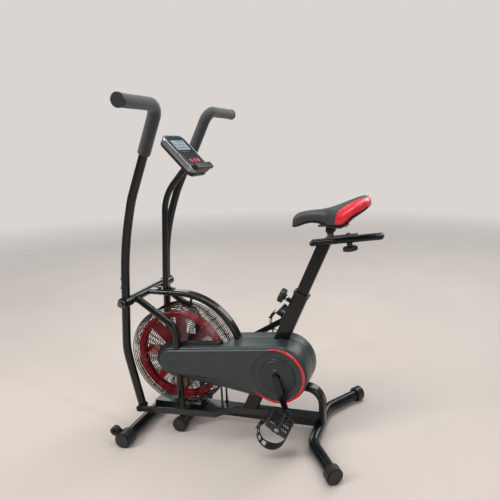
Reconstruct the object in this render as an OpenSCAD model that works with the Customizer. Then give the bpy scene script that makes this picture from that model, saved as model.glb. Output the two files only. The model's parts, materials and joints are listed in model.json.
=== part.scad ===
// Air bike: a fan exercise bike with swinging handles, a chain-driven fan and a sliding saddle.
// Millimetres. +Z is up, the fan end points to -Y and the rider's left is +X.
// The origin is on the floor, in the middle of the bike.

/* [Frame] */
// Front stabilizer, ahead of the origin
front_y = -426; // [-430:1:-424]
// Middle of the rear stabilizer, behind the origin
rear_y = 251; // [248:1:254]
// Height of the stabilizer tubes' axes
tube_z = 27; // [26:0.5:28]
// Diameter of the stabilizer tubes
stab_d = 42; // [40:1:42]
// Height of the handle pivot
pivot_z = 520; // [516:1:524]
// Distance of each stay tube from the middle
stay_x = 80; // [79:1:81]

/* [Fan] */
// Fan axis, ahead of the origin
fan_y = -294; // [-295:1:-293]
// Height of the fan axis
fan_z = 276; // [275:1:277]
// Outer radius of the wire cage
cage_r = 199; // [196:1:200]
// Outer radius of the fan's ring
fan_r = 174; // [170:1:176]
// Number of fan blades
blade_count = 8; // [6:1:10]
// Middle of the fan's ring, off the middle of the bike towards the chain
ring_x = 17; // [14:1:18]

/* [Drive] */
// Crank axis, behind the origin
crank_y = 118; // [117:1:119]
// Height of the crank axis
crank_z = 265; // [264:1:266]
// Crank length
crank_r = 135; // [130:1:137]
// Left crank at rest, measured backwards from straight down
crank_angle = 15; // [14:0.5:16]
// Teeth on the chainring
ring_teeth = 36; // [36]
// Teeth on the fan sprocket
fan_teeth = 12; // [12]

/* [Handles] */
// Distance of each handle tube from the middle, at the pivot
handle_x = 131; // [130:1:132]
// Distance of each grip's end from the middle
grip_x = 367; // [360:1:370]
// Diameter of the foam grips
grip_d = 40; // [38:1:42]

/* [Seat] */
// Lean of the seat tube, away from upright
seat_lean = 24.2; // [24:0.1:24.4]
// Rise of the saddle rail towards the back
rail_rise = 7.9; // [7:0.1:8.5]
// Width of the saddle
saddle_w = 180; // [170:2:190]

/* [Console] */
// Lean of the console's face, away from level
console_lean = 46.7; // [45:0.1:48]
// Width of the console
console_w = 132; // [128:1:136]

/* [Hidden] */
$fn = 48;
clear = 0.05;                     // radial clearance of every running fit
wall = 2;                         // wall of the steel tubes
bend_lap = 2;                     // straights run this far into the bends of a tube
bend_swell = 0.3;                 // a bend is this much fuller than the straights
front_w = 240;                    // half width of the front stabilizer over its caps
cross_y = -273;                   // cross tube under the fan, and the upright part of the stays
cross_w = 112;                    // half width of the cross tube over its caps
cap_r = 29;                       // end caps, cut flat at the floor
beam_w = 50;
beam_bottom = 36;
beam_top = 66;
pivot_y = -428;
pivot_tube_r = 16;
pivot_tube_x = 110;               // half length of the pivot tube
spindle_r = 9;
arch_r = pivot_z - fan_z;         // the arch runs round the fan axis at this radius
arch_turn = 76;                   // the arch curves down through this angle
arch_w = 40;
arch_h = 20;
stay_d = 25;
stay_bend = [stay_x, cross_y, 412];
seat_foot_y = -26;                // seat tube's axis where it meets the base beam's top
seat_dir = [0, sin(seat_lean), cos(seat_lean)];
seat_front = [0, -cos(seat_lean), sin(seat_lean)];
seat_w = 38;
seat_d = 54;
seat_len = 525;                   // base beam to collar, along the tube
post_w = 26;
post_d = 44;
post_out = 199;                   // length of seat post showing above the collar
post_in = 200;
rail_dir = [0, cos(rail_rise), sin(rail_rise)];
rail_up = [0, -sin(rail_rise), cos(rail_rise)];
rail_start = [0, 224, 735];
rail_len = 258;
rail_w = 44;
rail_h = 20;
cage_plate_r = 60;                // plate in the middle of each cage face
axle_r = 5;                       // fan axle
chain_x = 63.6;                   // plane of the chain
chain_half = 3.6;
ring_depth = 18;                  // depth of the fan ring's rim
tooth_pitch_r = 2.5;              // pitch radius of a sprocket for each of its teeth
cover_face = 96;                  // outer face of the left cover
cover_back = 56;                  // inner face of the cover's arm beside the fan
cover_far = -60;                  // outer face of the right cover
cover_front_r = 57;
cover_rear_r = 110;
cover_step = 7;                   // set-back of the cover's face inside its edge
shell = 3;
trim_r = 95;
disc_r = 65;
cover_wall_y = -92;               // front of the wide part of the cover
bb_r = 20;                        // bottom bracket shell
bb_x = 34;
bearing_r = 16;
crank_axle_r = 8.5;
arm_x = 98;                       // inner face of the crank arms
arm_t = 9;
arm_bolt = 3;                     // height of the bolt heads on the crank axle
pin_r = 6;
pin_end = 207;
link_x = 114;                     // plane of a link bar at the pedal
link_out_x = 150;                 // plane of a link bar at the handle
link_t = 6;
link_h = 22;
link_step = [205, 255];           // the bar steps sideways between these distances from the pedal pin
eye_t = link_t + 0.4;
open_gap = 0.6;                   // room on both sides of the right bar's eye, where the loop is open
pedal_x0 = 132;
pedal_x1 = 216;
pedal_tilt = -32;                 // the straps hang a little forward at rest
strap_x = [162, 188];
strap_r = 46;
handle_d = 28;
foot_bore_r = 5;                  // bore of the sleeve in each handle's foot
handle_end = [handle_x, -405, 108];
handle_low = [handle_x, -447, 335];
handle_high = [handle_x, -409, 725];
handle_mid = [148, -352, 890];
handle_corner = [180, -206, 1190];
handle_tip = [grip_x, -200, 1188];
grip_start = 0.5;                 // part of the upper slope that is bare tube
grip_bend = 48;
hub_r = 20;
console_mid = [0, -220, 1040];
console_len = 166;
button_gap = 25;
button_r = 8.5;
button_y = 36;                    // buttons, down the console's face from its middle
wheel_x = 218;
wheel_y = -463;
wheel_z = 54;
wheel_r = 16;
post_tube_d = 21;
post_foot = [0, -353, 520];
post_knee = [0, -321, 889];
post_head = [0, -217, 1006];

// ---------- geometry helpers ----------

function unit(v) = v / norm(v);

// Any direction square to d
function across(d) = unit(cross(d, abs(d[2]) < 0.9 ? [0, 0, 1] : [1, 0, 0]));

// A point of the bike's side view at x, from its distance r and angle a round the point [y, z]
function around(x, y, z, r, a) = [x, y + r * cos(a), z + r * sin(a)];

// A point turned by a degrees round the handle pivot
function swung(p, a) = let (y = p[1] - pivot_y, z = p[2] - pivot_z)
    [p[0], pivot_y + y * cos(a) - z * sin(a), pivot_z + y * sin(a) + z * cos(a)];

// Local axes x, y, z placed at p
module axes_at(p, x, y, z) {
    multmatrix([[x[0], y[0], z[0], p[0]], [x[1], y[1], z[1], p[1]], [x[2], y[2], z[2], p[2]], [0, 0, 0, 1]])
        children();
}

// Local +Z runs from p towards q
module towards(p, q) {
    d = unit(q - p);
    n = across(d);
    axes_at(p, cross(n, d), n, d) children();
}

module rod(p, q, r) {
    towards(p, q) cylinder(h = norm(q - p), r = r);
}

// A cylinder along X
module rod_x(x0, x1, y, z, r) {
    translate([x0, y, z]) rotate([0, 90, 0]) cylinder(h = x1 - x0, r = r);
}

module pipe_x(x0, x1, y, z, outer, inner) {
    translate([x0, y, z]) rotate([0, 90, 0]) linear_extrude(x1 - x0) difference() {
        circle(r = outer);
        circle(r = inner);
    }
}

// Children drawn in the side view (first axis +Y, second axis +Z), extruded from x0 to x1
module side_view(x0, x1) {
    translate([x0, 0, 0]) multmatrix([[0, 0, 1, 0], [1, 0, 0, 0], [0, 1, 0, 0], [0, 0, 0, 1]])
        linear_extrude(x1 - x0) children();
}

module stadium(w, h) {
    square([w - h, h], center = true);
    for (s = [-1, 1]) translate([s * (w - h) / 2, 0]) circle(d = h);
}

module round_box(w, h, r) {
    square([w - 2 * r, h], center = true);
    square([w, h - 2 * r], center = true);
    for (sx = [-1, 1], sy = [-1, 1]) translate([sx * (w / 2 - r), sy * (h / 2 - r)]) circle(r = r);
}

module oval_section(w, h) {
    difference() {
        stadium(w, h);
        stadium(w - 2 * wall, h - 2 * wall);
    }
}

// Sweeps one section along straight runs and a second one round the bends of radius bend[i]. The
// straights lap into the bends by bend_lap and run on by extra at both ends. The sections' second
// axis follows normal, which round sections can leave out.
module swept(path, bend, normal = undef, extra = 0) {
    last = len(path) - 1;
    d = [for (i = [0 : last - 1]) unit(path[i + 1] - path[i])];
    turn = [for (i = [0 : last]) i == 0 || i == last ? 0 : acos(d[i - 1] * d[i])];
    trim = [for (i = [0 : last]) turn[i] == 0 ? 0 : bend[i - 1] * tan(turn[i] / 2)];
    lap = [for (i = [0 : last]) turn[i] == 0 ? extra : bend_lap];
    for (i = [0 : last - 1]) {
        n = normal == undef ? across(d[i]) : normal;
        axes_at(path[i] + (trim[i] - lap[i]) * d[i], cross(n, d[i]), n, d[i])
            linear_extrude(norm(path[i + 1] - path[i]) - trim[i] - trim[i + 1] + lap[i] + lap[i + 1])
                children(0);
    }
    for (i = [1 : last - 1]) {
        inward = unit(d[i] - (d[i - 1] * d[i]) * d[i - 1]);
        axes_at(path[i] - trim[i] * d[i - 1] + bend[i - 1] * inward, -inward, d[i - 1], cross(d[i - 1], inward))
            rotate_extrude(angle = turn[i]) translate([bend[i - 1], 0]) children(1);
    }
}

// A round bar whose bends are fuller than its straights by swell
module bent_rod(path, bend, d, swell, extra = 0) {
    swept(path, bend, extra = extra) {
        circle(d = d);
        circle(d = d + swell);
    }
}

// A round tube along a path
module bent_pipe(path, bend, d) {
    difference() {
        bent_rod(path, bend, d, bend_swell);
        bent_rod(path, bend, d - 2 * wall, -bend_swell, 1);
    }
}

// Outline round two circles in the side view, as a chain or a cover runs. Its straights lie a hair
// inside the circles' tangents, so that they cross the circles cleanly.
module two_circles(y0, z0, r0, y1, z1, r1) {
    gap = norm([y1 - y0, z1 - z0]);
    tilt = atan2(z1 - z0, y1 - y0);
    open = acos((r0 - r1) / gap);
    translate([y0, z0]) circle(r = r0);
    translate([y1, z1]) circle(r = r1);
    hair = 0.05;
    function corner(y, z, r, a) = [y + (r - hair) * cos(a), z + (r - hair) * sin(a)];
    polygon([for (s = [1, -1]) corner(y0, z0, r0, tilt + s * open),
        for (s = [-1, 1]) corner(y1, z1, r1, tilt + s * open)]);
}

module hex_head(h, r) {
    cylinder(h = h, r = r, $fn = 6);
}

module mirrored() {
    children();
    mirror([1, 0, 0]) children();
}

// ---------- base frame ----------

module stabilizer_rods(r) {
    rod_x(-front_w, front_w, front_y, tube_z, r);
    rod_x(-cross_w, cross_w, cross_y, tube_z, r);
    rod_x(-60, 60, rear_y, tube_z, r);
}

module base_beam() {
    color("#17191b") difference() {
        translate([-beam_w / 2, front_y, beam_bottom])
            cube([beam_w, rear_y - front_y, beam_top - beam_bottom]);
        translate([-beam_w / 2 + wall, front_y - 1, beam_bottom + wall])
            cube([beam_w - 2 * wall, rear_y - front_y + 2, beam_top - beam_bottom - 2 * wall]);
        stabilizer_rods(stab_d / 2);
    }
}

module front_stabilizer() {
    color("#17191b") pipe_x(-front_w + 14, front_w - 14, front_y, tube_z, stab_d / 2, stab_d / 2 - wall);
}

// An end cap: a cup over the tube's end, cut flat where it stands on the floor
module end_cap(p, q, depth) {
    difference() {
        towards(p, q) difference() {
            union() {
                cylinder(h = norm(q - p) - 4, r = cap_r);
                cylinder(h = norm(q - p), r = cap_r - 4);
            }
            translate([0, 0, -1]) cylinder(h = depth + 1, d = stab_d);
        }
        translate([-400, -600, -50]) cube([800, 1200, 50]);
    }
}

rear_bend = [112, rear_y, tube_z];
rear_tip = [262, 366, tube_z];
rear_out = unit(rear_tip - rear_bend);

module rear_stabilizer() {
    end = rear_tip - 14 * rear_out;
    color("#17191b") bent_pipe([[-end[0], end[1], tube_z], [-rear_bend[0], rear_y, tube_z], rear_bend, end],
        [100, 100], stab_d);
}

// Plastic caps on the six tube ends: the feet of the bike
module end_caps() {
    color("#26282a") mirrored() {
        end_cap([front_w - 44, front_y, tube_z], [front_w, front_y, tube_z], 30);
        end_cap(rear_tip - 34 * rear_out, rear_tip, 20);
        end_cap([cross_w - 19, cross_y, tube_z], [cross_w, cross_y, tube_z], 5);
    }
}

module fan_cross_tube() {
    color("#17191b") pipe_x(-cross_w + 14, cross_w - 14, cross_y, tube_z, stab_d / 2, stab_d / 2 - wall);
}

// Two ears on the front of the stabilizer carry each transport wheel
module wheel_brackets() {
    color("#1e2022") mirrored() difference() {
        union() {
            for (x = [wheel_x - 14, wheel_x + 10]) side_view(x, x + 4) {
                translate([wheel_y, wheel_z]) circle(r = 9);
                polygon([[wheel_y - 7, wheel_z - 5], [front_y - 5, tube_z - 5],
                    [front_y + 5, tube_z + 5], [wheel_y + 4, wheel_z + 8]]);
            }
            rod_x(wheel_x - 18, wheel_x + 18, wheel_y, wheel_z, 4);
        }
        rod_x(0, 300, front_y, tube_z, cap_r);
    }
}

module transport_wheel(side) {
    color("#2a2c2e") pipe_x(side * wheel_x - 9, side * wheel_x + 9, wheel_y, wheel_z, wheel_r, 4 + clear);
}

module transport_wheels_left() {
    transport_wheel(1);
}

module transport_wheels_right() {
    transport_wheel(-1);
}

// ---------- upper frame ----------

module pivot_tube() {
    color("#17191b") pipe_x(-pivot_tube_x, pivot_tube_x, pivot_y, pivot_z, pivot_tube_r, spindle_r);
}

module pivot_spindle() {
    color("#8f9296") {
        rod_x(-161, 161, pivot_y, pivot_z, spindle_r);
        mirrored() {
            rod_x(153, 158, pivot_y, pivot_z, 15);
            translate([158, pivot_y, pivot_z]) rotate([0, 90, 0]) hex_head(9, 10);
        }
    }
}

// Runs back from the pivot tube and curves down round the fan, into the cover
module arch_tube() {
    color("#17191b") difference() {
        union() {
            axes_at([0, pivot_y, pivot_z], [1, 0, 0], [0, 0, -1], [0, 1, 0])
                linear_extrude(fan_y - pivot_y) oval_section(arch_w, arch_h);
            arch_curve() oval_section(arch_w, arch_h);
        }
        rod_x(-60, 60, pivot_y, pivot_z, pivot_tube_r);
    }
}

// The arch's curve: the section runs from the top of the circle backwards and down
module arch_curve() {
    axes_at([0, fan_y, fan_z], [0, 0, 1], [0, 1, 0], [-1, 0, 0])
        rotate_extrude(angle = arch_turn) translate([arch_r, 0]) rotate(90) children();
}

// A stay: from the pivot tube down past the fan's end to the cross tube, with a plate for the fan axle
module stay() {
    difference() {
        union() {
            bent_pipe([[stay_x, pivot_y, pivot_z + 2], stay_bend, [stay_x, cross_y, tube_z]], [48], stay_d);
            difference() {
                side_view(stay_x - 3, stay_x + 3) {
                    translate([fan_y, fan_z]) circle(r = 14);
                    translate([fan_y, fan_z - 12]) square([cross_y - fan_y, 24]);
                }
                rod([stay_x, cross_y, 0], stay_bend, stay_d / 2 - 1);
            }
        }
        rod_x(0, 120, pivot_y, pivot_z, pivot_tube_r);
        rod_x(0, 120, cross_y, tube_z, stab_d / 2);
        rod_x(0, 120, fan_y, fan_z, axle_r);
    }
}

module stay_left() {
    color("#17191b") stay();
}

module stay_right() {
    color("#17191b") mirror([1, 0, 0]) stay();
}

function on_seat(length, out = 0) = [0, seat_foot_y, beam_top] + length * seat_dir + out * seat_front;

module along_seat(length) {
    axes_at(on_seat(length), [1, 0, 0], -seat_front, seat_dir) children();
}

pin_at = 484;                     // height of the lock pin along the seat tube

module seat_tube() {
    color("#17191b") difference() {
        along_seat(-40) linear_extrude(seat_len + 40) difference() {
            round_box(seat_w, seat_d, 8);
            round_box(seat_w - 2 * wall, seat_d - 2 * wall, 6);
        }
        translate([-50, seat_foot_y - 150, beam_top - 80]) cube([100, 300, 80]);
        rod(on_seat(pin_at), on_seat(pin_at, 80), 4.5);
    }
}

// A plastic sleeve in the mouth of the seat tube, which guides the post
module seat_tube_collar() {
    color("#222527") difference() {
        union() {
            along_seat(seat_len - 90) linear_extrude(93) round_box(seat_w - 2 * wall, seat_d - 2 * wall, 6);
            along_seat(seat_len) linear_extrude(7) round_box(seat_w + 5, seat_d + 5, 9);
        }
        along_seat(seat_len - 91) linear_extrude(100)
            round_box(post_w + 0.6, post_d + 0.6, 5.3);
        rod(on_seat(pin_at), on_seat(pin_at, 80), 4.5);
    }
}

// Shell for the crank bearings, held off the seat tube by a block, with the lock pin's sleeve
module bottom_bracket() {
    color("#2b2d30") {
        difference() {
            union() {
                rod_x(-bb_x, bb_x, crank_y, crank_z, bb_r);
                side_view(-12, 12) translate([crank_y - 42, crank_z - 10]) square([40, 20]);
            }
            rod_x(-bb_x - 1, bb_x + 1, crank_y, crank_z, bearing_r);
            along_seat(-40) linear_extrude(seat_len + 40) round_box(seat_w, seat_d, 8);
        }
        difference() {
            rod(on_seat(pin_at, seat_d / 2), on_seat(pin_at, seat_d / 2 + 16), 9);
            rod(on_seat(pin_at), on_seat(pin_at, 80), 4 + clear);
        }
    }
}

module crank_bearings() {
    color("#8f9296") mirrored() pipe_x(bb_x - 14, bb_x, crank_y, crank_z, bearing_r, crank_axle_r + clear);
}

// Carries the load from the bottom bracket back and down to the rear stabilizer
rear_arch_path = [[0, 128, 192], [0, 262, 176], [0, 262, 45]];

module rear_arch() {
    color("#17191b") difference() {
        swept(rear_arch_path, [62], [1, 0, 0]) {
            rotate(90) stadium(46, 24);
            rotate(90) stadium(46 + bend_swell, 24 + bend_swell);
        }
        swept(rear_arch_path, [62], [1, 0, 0], 1) {
            rotate(90) stadium(46 - 2 * wall, 24 - 2 * wall);
            rotate(90) stadium(46 - 2 * wall - bend_swell, 24 - 2 * wall - bend_swell);
        }
        rod_x(-60, 60, rear_y, tube_z, stab_d / 2);
        translate([-beam_w / 2, 0, 0]) cube([beam_w, rear_y, beam_top]);
    }
}

// Thin rods from the base beam, and a tab from the arch, that hold the cage
module cage_supports() {
    color("#3a3c3f") {
        for (x = [-20, 20]) {
            difference() {
                rod([x, -136, beam_top], [x, -136, beam_top + 84], 4);
                rod_x(-60, 60, fan_y, fan_z, cage_r);
            }
            translate([x, -136, beam_top]) hex_head(5, 8);
        }
        difference() {
            rod(around(0, fan_y, fan_z, cage_r + 1, 78), around(0, fan_y, fan_z, arch_r, 78), 5);
            arch_curve() stadium(arch_w, arch_h);
        }
    }
}

// ---------- fan ----------

module cage_bars(x, face) {
    pipe_x(x, x + 2, fan_y, fan_z, cage_plate_r, 26);
    for (r = [cage_plate_r + 6 : 13 : cage_r - 4]) pipe_x(x, x + 2, fan_y, fan_z, r + 1.5, r - 1.5);
    for (a = [0 : 15 : 345]) translate([x + face, fan_y, fan_z]) rotate([a, 0, 0])
        translate([0, cage_plate_r - 10, -1]) cube([2, cage_r - 3 - (cage_plate_r - 10), 2]);
}

module cage_left() {
    color("#3a3c3f") cage_bars(38, -1.5);
}

module cage_right() {
    color("#3a3c3f") cage_bars(-40, 1.5);
}

// Hoops round the outside of the cage, joined by cross wires
module cage_rim() {
    color("#3a3c3f") {
        for (x = [-40 : 19.5 : 40]) pipe_x(x, x + 2, fan_y, fan_z, cage_r, cage_r - 4);
        for (a = [0 : 15 : 345]) rotate_about_fan(a) translate([-40, cage_r - 3, -1]) cube([80, 2, 2]);
    }
}

module rotate_about_fan(a) {
    translate([0, fan_y, fan_z]) rotate([a, 0, 0]) children();
}

module fan_axle() {
    color("#9a9da1") {
        rod_x(-88, 88, fan_y, fan_z, axle_r);
        mirrored() translate([stay_x + 3, fan_y, fan_z]) rotate([0, 90, 0]) difference() {
            hex_head(6, 9);
            translate([0, 0, -1]) cylinder(h = 8, r = axle_r - 0.5);
        }
    }
}

module fan_ring() {
    color("#a01018") translate([ring_x, fan_y, fan_z]) rotate([0, 90, 0]) rotate_extrude()
        polygon([[fan_r - ring_depth, -11], [fan_r - 6, -17], [fan_r, -17], [fan_r, 17], [fan_r - 6, 17],
            [fan_r - ring_depth, 11], [fan_r - ring_depth, 8], [fan_r - 7, 13], [fan_r - 4, 13],
            [fan_r - 4, -13], [fan_r - 7, -13], [fan_r - ring_depth, -8]]);
}

module fan_blades() {
    color("#a01018") intersection() {
        for (i = [0 : blade_count - 1]) rotate_about_fan(i * 360 / blade_count)
            translate([ring_x / 2, 40, 0]) rotate([0, 38, 0]) translate([-1.5, 0, -19]) cube([3, fan_r, 38]);
        pipe_x(-20, 34, fan_y, fan_z, fan_r - ring_depth - 0.4, 42);
    }
}

module sprocket(teeth, y, z, bore) {
    pitch = teeth * tooth_pitch_r;
    side_view(chain_x - 1.5, chain_x + 1.5) translate([y, z]) difference() {
        union() {
            circle(r = pitch - 2);
            for (i = [0 : teeth - 1]) rotate(i * 360 / teeth)
                polygon([[pitch - 6, -4], [pitch + 3, -1.5], [pitch + 3, 1.5], [pitch - 6, 4]]);
        }
        circle(r = bore);
    }
}

module fan_hub() {
    color("#222426") difference() {
        union() {
            rod_x(-20, 20, fan_y, fan_z, 42);
            rod_x(-34, 34, fan_y, fan_z, 24);
            rod_x(0, 68, fan_y, fan_z, 14);
            sprocket(fan_teeth, fan_y, fan_z, axle_r + clear);
        }
        rod_x(-40, 80, fan_y, fan_z, axle_r + clear);
    }
}

// Side plates run round both sprockets; pins join them along the two straight runs
module chain() {
    fan_pitch = fan_teeth * tooth_pitch_r;
    ring_pitch = ring_teeth * tooth_pitch_r;
    span = norm([crank_y - fan_y, crank_z - fan_z]);
    tilt = atan2(crank_z - fan_z, crank_y - fan_y);
    open = acos((fan_pitch - ring_pitch) / span);
    color("#54575b") {
        for (x = [chain_x - chain_half, chain_x + chain_half - 2]) side_view(x, x + 2) difference() {
            two_circles(fan_y, fan_z, fan_pitch + 4, crank_y, crank_z, ring_pitch + 4);
            two_circles(fan_y, fan_z, fan_pitch - 4, crank_y, crank_z, ring_pitch - 4);
        }
        for (s = [-1, 1], f = [0.16 : 0.04 : 0.84]) {
            a = around(0, fan_y, fan_z, fan_pitch, tilt + s * open);
            b = around(0, crank_y, crank_z, ring_pitch, tilt + s * open);
            p = a + f * (b - a);
            rod_x(chain_x - chain_half, chain_x + chain_half, p[1], p[2], 2);
        }
    }
}

// ---------- cover ----------

module cover_outline(inset) {
    two_circles(fan_y, fan_z, cover_front_r - inset, crank_y, crank_z, cover_rear_r - inset);
}

module cover_rear_half(inset) {
    intersection() {
        cover_outline(inset);
        translate([cover_wall_y + inset, 0]) square([400, 600]);
    }
}

module seat_tube_room(extra) {
    along_seat(-60) linear_extrude(700) round_box(seat_w + 2 * extra, seat_d + 2 * extra, 8 + extra);
}

module arch_room() {
    difference() {
        rod_x(-arch_w / 2 - 1, arch_w / 2 + 1, fan_y, fan_z, arch_r + arch_h / 2 + 1);
        rod_x(-arch_w, arch_w, fan_y, fan_z, arch_r - arch_h / 2 - 1);
        translate([-100, fan_y - 300, fan_z - 300]) cube([200, 600, 310]);
        translate([-100, fan_y - 300, 0]) cube([200, 300, 600]);
    }
}

module rear_arch_room() {
    translate([-24, crank_y, 140]) cube([48, 140, 75]);
}

module crank_hole(r) {
    rod_x(-150, 150, crank_y, crank_z, r);
}

module cover_left() {
    color("#33393a") difference() {
        union() {
            side_view(cover_back, cover_face - 8) cover_outline(0);
            side_view(0, cover_face - 8) cover_rear_half(0);
            side_view(cover_face - 8, cover_face) cover_outline(cover_step);
        }
        side_view(cover_back + shell, cover_face - shell) cover_outline(cover_step + shell);
        side_view(cover_back + shell, cover_face - 8 - shell) cover_outline(shell);
        side_view(-1, cover_face - 8 - shell) cover_rear_half(shell);
        rod([stay_x, cross_y, 150], [stay_x, cross_y, 400], stay_d / 2 + 1);
        rod_x(cover_back - 1, cover_back + 10, fan_y, fan_z, 17);
        rod_x(cover_face - 10, cover_face + 1, fan_y, fan_z, 16);
        rod_x(cover_face - 10, cover_face + 1, crank_y, crank_z, disc_r);
        seat_tube_room(1);
        arch_room();
        rear_arch_room();
    }
}

module cover_right() {
    color("#33393a") difference() {
        union() {
            side_view(cover_far + 12, 0) cover_rear_half(0);
            side_view(cover_far, cover_far + 12) cover_rear_half(12);
        }
        side_view(cover_far + 12 + shell, 1) cover_rear_half(shell);
        side_view(cover_far + shell, 1) cover_rear_half(12 + shell);
        rod_x(cover_far - 1, cover_far + 10, crank_y, crank_z, 42);
        seat_tube_room(1);
        arch_room();
        rear_arch_room();
    }
}

// Raised band that follows the round rear end of the left cover
module cover_trim() {
    color("#d5182a") translate([cover_face, crank_y, crank_z]) rotate([0, 90, 0])
        rotate([0, 0, -57]) rotate_extrude(angle = 255) translate([trim_r, 0]) square([7, 1.5]);
}

// Round caps: over the fan axle on both sides, and round the crank axle on both sides
module cover_caps() {
    color("#2b3031") {
        difference() {
            union() {
                rod_x(cover_face - 3, cover_face + 5, fan_y, fan_z, 16);
                rod_x(cover_face - 3, cover_face, crank_y, crank_z, disc_r);
                rod_x(cover_far, cover_far + 3, crank_y, crank_z, 42);
            }
            rod_x(cover_face - 5, cover_face + 3, fan_y, fan_z, 12);
            crank_hole(15);
        }
        difference() {
            rod_x(-96, -stay_x + 14, fan_y, fan_z, 34);
            rod_x(-93, -stay_x + 15, fan_y, fan_z, 31);
            rod([-stay_x, cross_y, 200], [-stay_x, cross_y, 400], stay_d / 2 + 1);
        }
    }
}

// ---------- crank, links and pedals ----------

pin_left = around(0, crank_y, crank_z, crank_r, crank_angle - 90);
pin_right = around(0, crank_y, crank_z, crank_r, crank_angle + 90);
link_len = norm([pin_left[1] - handle_end[1], pin_left[2] - handle_end[2]]);

// Angle that brings the right handle's lower end one link length from the right pedal pin
lever_r = norm([handle_end[1] - pivot_y, handle_end[2] - pivot_z]);
pin_far = norm([pin_right[1] - pivot_y, pin_right[2] - pivot_z]);
right_swing = atan2(pin_right[2] - pivot_z, pin_right[1] - pivot_y)
    - acos((lever_r * lever_r + pin_far * pin_far - link_len * link_len) / (2 * lever_r * pin_far))
    - atan2(handle_end[2] - pivot_z, handle_end[1] - pivot_y);

module crank_axle() {
    color("#8f9296") {
        rod_x(-arm_x, arm_x, crank_y, crank_z, crank_axle_r);
        difference() {
            sprocket(ring_teeth, crank_y, crank_z, crank_axle_r - 1);
            for (i = [0 : 4]) {
                p = around(0, crank_y, crank_z, 52, i * 72);
                rod_x(chain_x - 5, chain_x + 5, p[1], p[2], 19);
            }
        }
        rod_x(bb_x + 3, chain_x - 1.5, crank_y, crank_z, 16);
    }
}

module crank_arm(x0, pin) {
    difference() {
        side_view(x0, x0 + arm_t) two_circles(crank_y, crank_z, 12, pin[1], pin[2], 9.5);
        rod_x(x0 - 1, x0 + arm_t + 1, crank_y, crank_z, 4);
        rod_x(x0 - 1, x0 + arm_t + 1, pin[1], pin[2], pin_r);
    }
    translate([x0 > 0 ? x0 + arm_t : x0, crank_y, crank_z]) rotate([0, x0 > 0 ? 90 : -90, 0])
        hex_head(arm_bolt, 8);
}

module crank_arms() {
    color("#1a1b1d") {
        crank_arm(arm_x, pin_left);
        crank_arm(-arm_x - arm_t, pin_right);
    }
}

// The right axle stops on both sides of the bar's eye: there the crank, bar and handle loop is open
module pedal_axles() {
    color("#8f9296") {
        rod_x(arm_x, pin_end, pin_left[1], pin_left[2], pin_r);
        rod_x(-pin_end, -link_x - eye_t / 2 - open_gap, pin_right[1], pin_right[2], pin_r);
        rod_x(-link_x + eye_t / 2 + open_gap, -arm_x, pin_right[1], pin_right[2], pin_r);
    }
}

// A link bar: an eye at the pedal pin, a sideways step, and an eye with a bolt head at the handle
module link(pin, end) {
    along = unit([0, end[1] - pin[1], end[2] - pin[2]]);
    up = [0, -along[2], along[1]];
    reach = norm([end[1] - pin[1], end[2] - pin[2]]);
    near = link_x - link_t / 2;
    far = link_out_x - link_t / 2;
    a = link_step[0];
    b = link_step[1];
    rod_x(link_x - eye_t / 2, link_x + eye_t / 2, pin[1], pin[2], 16);
    axes_at([0, pin[1], pin[2]] + link_h / 2 * up, along, [1, 0, 0], -up) linear_extrude(link_h)
        polygon([[8, near], [a, near], [b, far], [reach, far],
            [reach, far + link_t], [b, far + link_t], [a, near + link_t], [8, near + link_t]]);
    rod_x(link_out_x - eye_t / 2, link_out_x + eye_t / 2, end[1], end[2], 13);
    rod_x(link_out_x, link_out_x + 8, end[1], end[2], 9);
}

// The left bar turns on the pedal pin, and its front eye stays beside the handle's foot
module link_left() {
    color("#1a1b1d") difference() {
        link(pin_left, handle_end);
        rod_x(link_x - 10, link_x + 10, pin_left[1], pin_left[2], pin_r + clear);
    }
}

// The right bar turns on a bolt through the handle's foot, and its rear eye stays beside the pedal pin
module link_right() {
    end = swung(handle_end, right_swing);
    color("#1a1b1d") mirror([1, 0, 0]) {
        link(pin_right, end);
        rod_x(handle_x - 17, link_out_x, end[1], end[2], foot_bore_r - clear);
        rod_x(handle_x - 19, handle_x - 14.6, end[1], end[2], 8);
    }
}

module hung_on(pin) {
    translate([0, pin[1], pin[2]]) rotate([pedal_tilt, 0, 0]) translate([0, -pin[1], -pin[2]]) children();
}

// A pedal: a barrel on the pin, two rails and end plates; the strap hangs below
module pedal(pin) {
    difference() {
        union() {
            rod_x(pedal_x0, pedal_x1 - 4, pin[1], pin[2], 12);
            for (s = [-1, 1]) side_view(pedal_x0, pedal_x1 - 2)
                translate([pin[1] + s * 38, pin[2]]) round_box(10, 26, 3);
            for (x = [pedal_x0, pedal_x1 - 8]) side_view(x, x + 6)
                translate([pin[1], pin[2]]) round_box(80, 20, 6);
            translate([(pedal_x0 + pedal_x1) / 2 - 5, pin[1] - 38, pin[2] - 6]) cube([10, 76, 12]);
        }
        rod_x(pedal_x0 - 1, pin_end + 1, pin[1], pin[2], pin_r + clear);
    }
}

module pedal_strap(pin) {
    drop = 42;
    side_view(strap_x[0], strap_x[1]) translate([pin[1], pin[2] - 15]) difference() {
        union() {
            translate([0, -drop]) circle(r = strap_r);
            translate([-strap_r, -drop]) square([2 * strap_r, drop + 8]);
        }
        translate([0, -drop]) circle(r = strap_r - 2.5);
        translate([2.5 - strap_r, -drop]) square([2 * strap_r - 5, drop + 20]);
    }
}

module pedal_left() {
    color("#3b3d40") hung_on(pin_left) pedal(pin_left);
}

module pedal_strap_left() {
    color("#232527") hung_on(pin_left) pedal_strap(pin_left);
}

module pedal_right() {
    color("#3b3d40") mirror([1, 0, 0]) hung_on(pin_right) pedal(pin_right);
}

module pedal_strap_right() {
    color("#232527") mirror([1, 0, 0]) hung_on(pin_right) pedal_strap(pin_right);
}

// ---------- handles ----------

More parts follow.
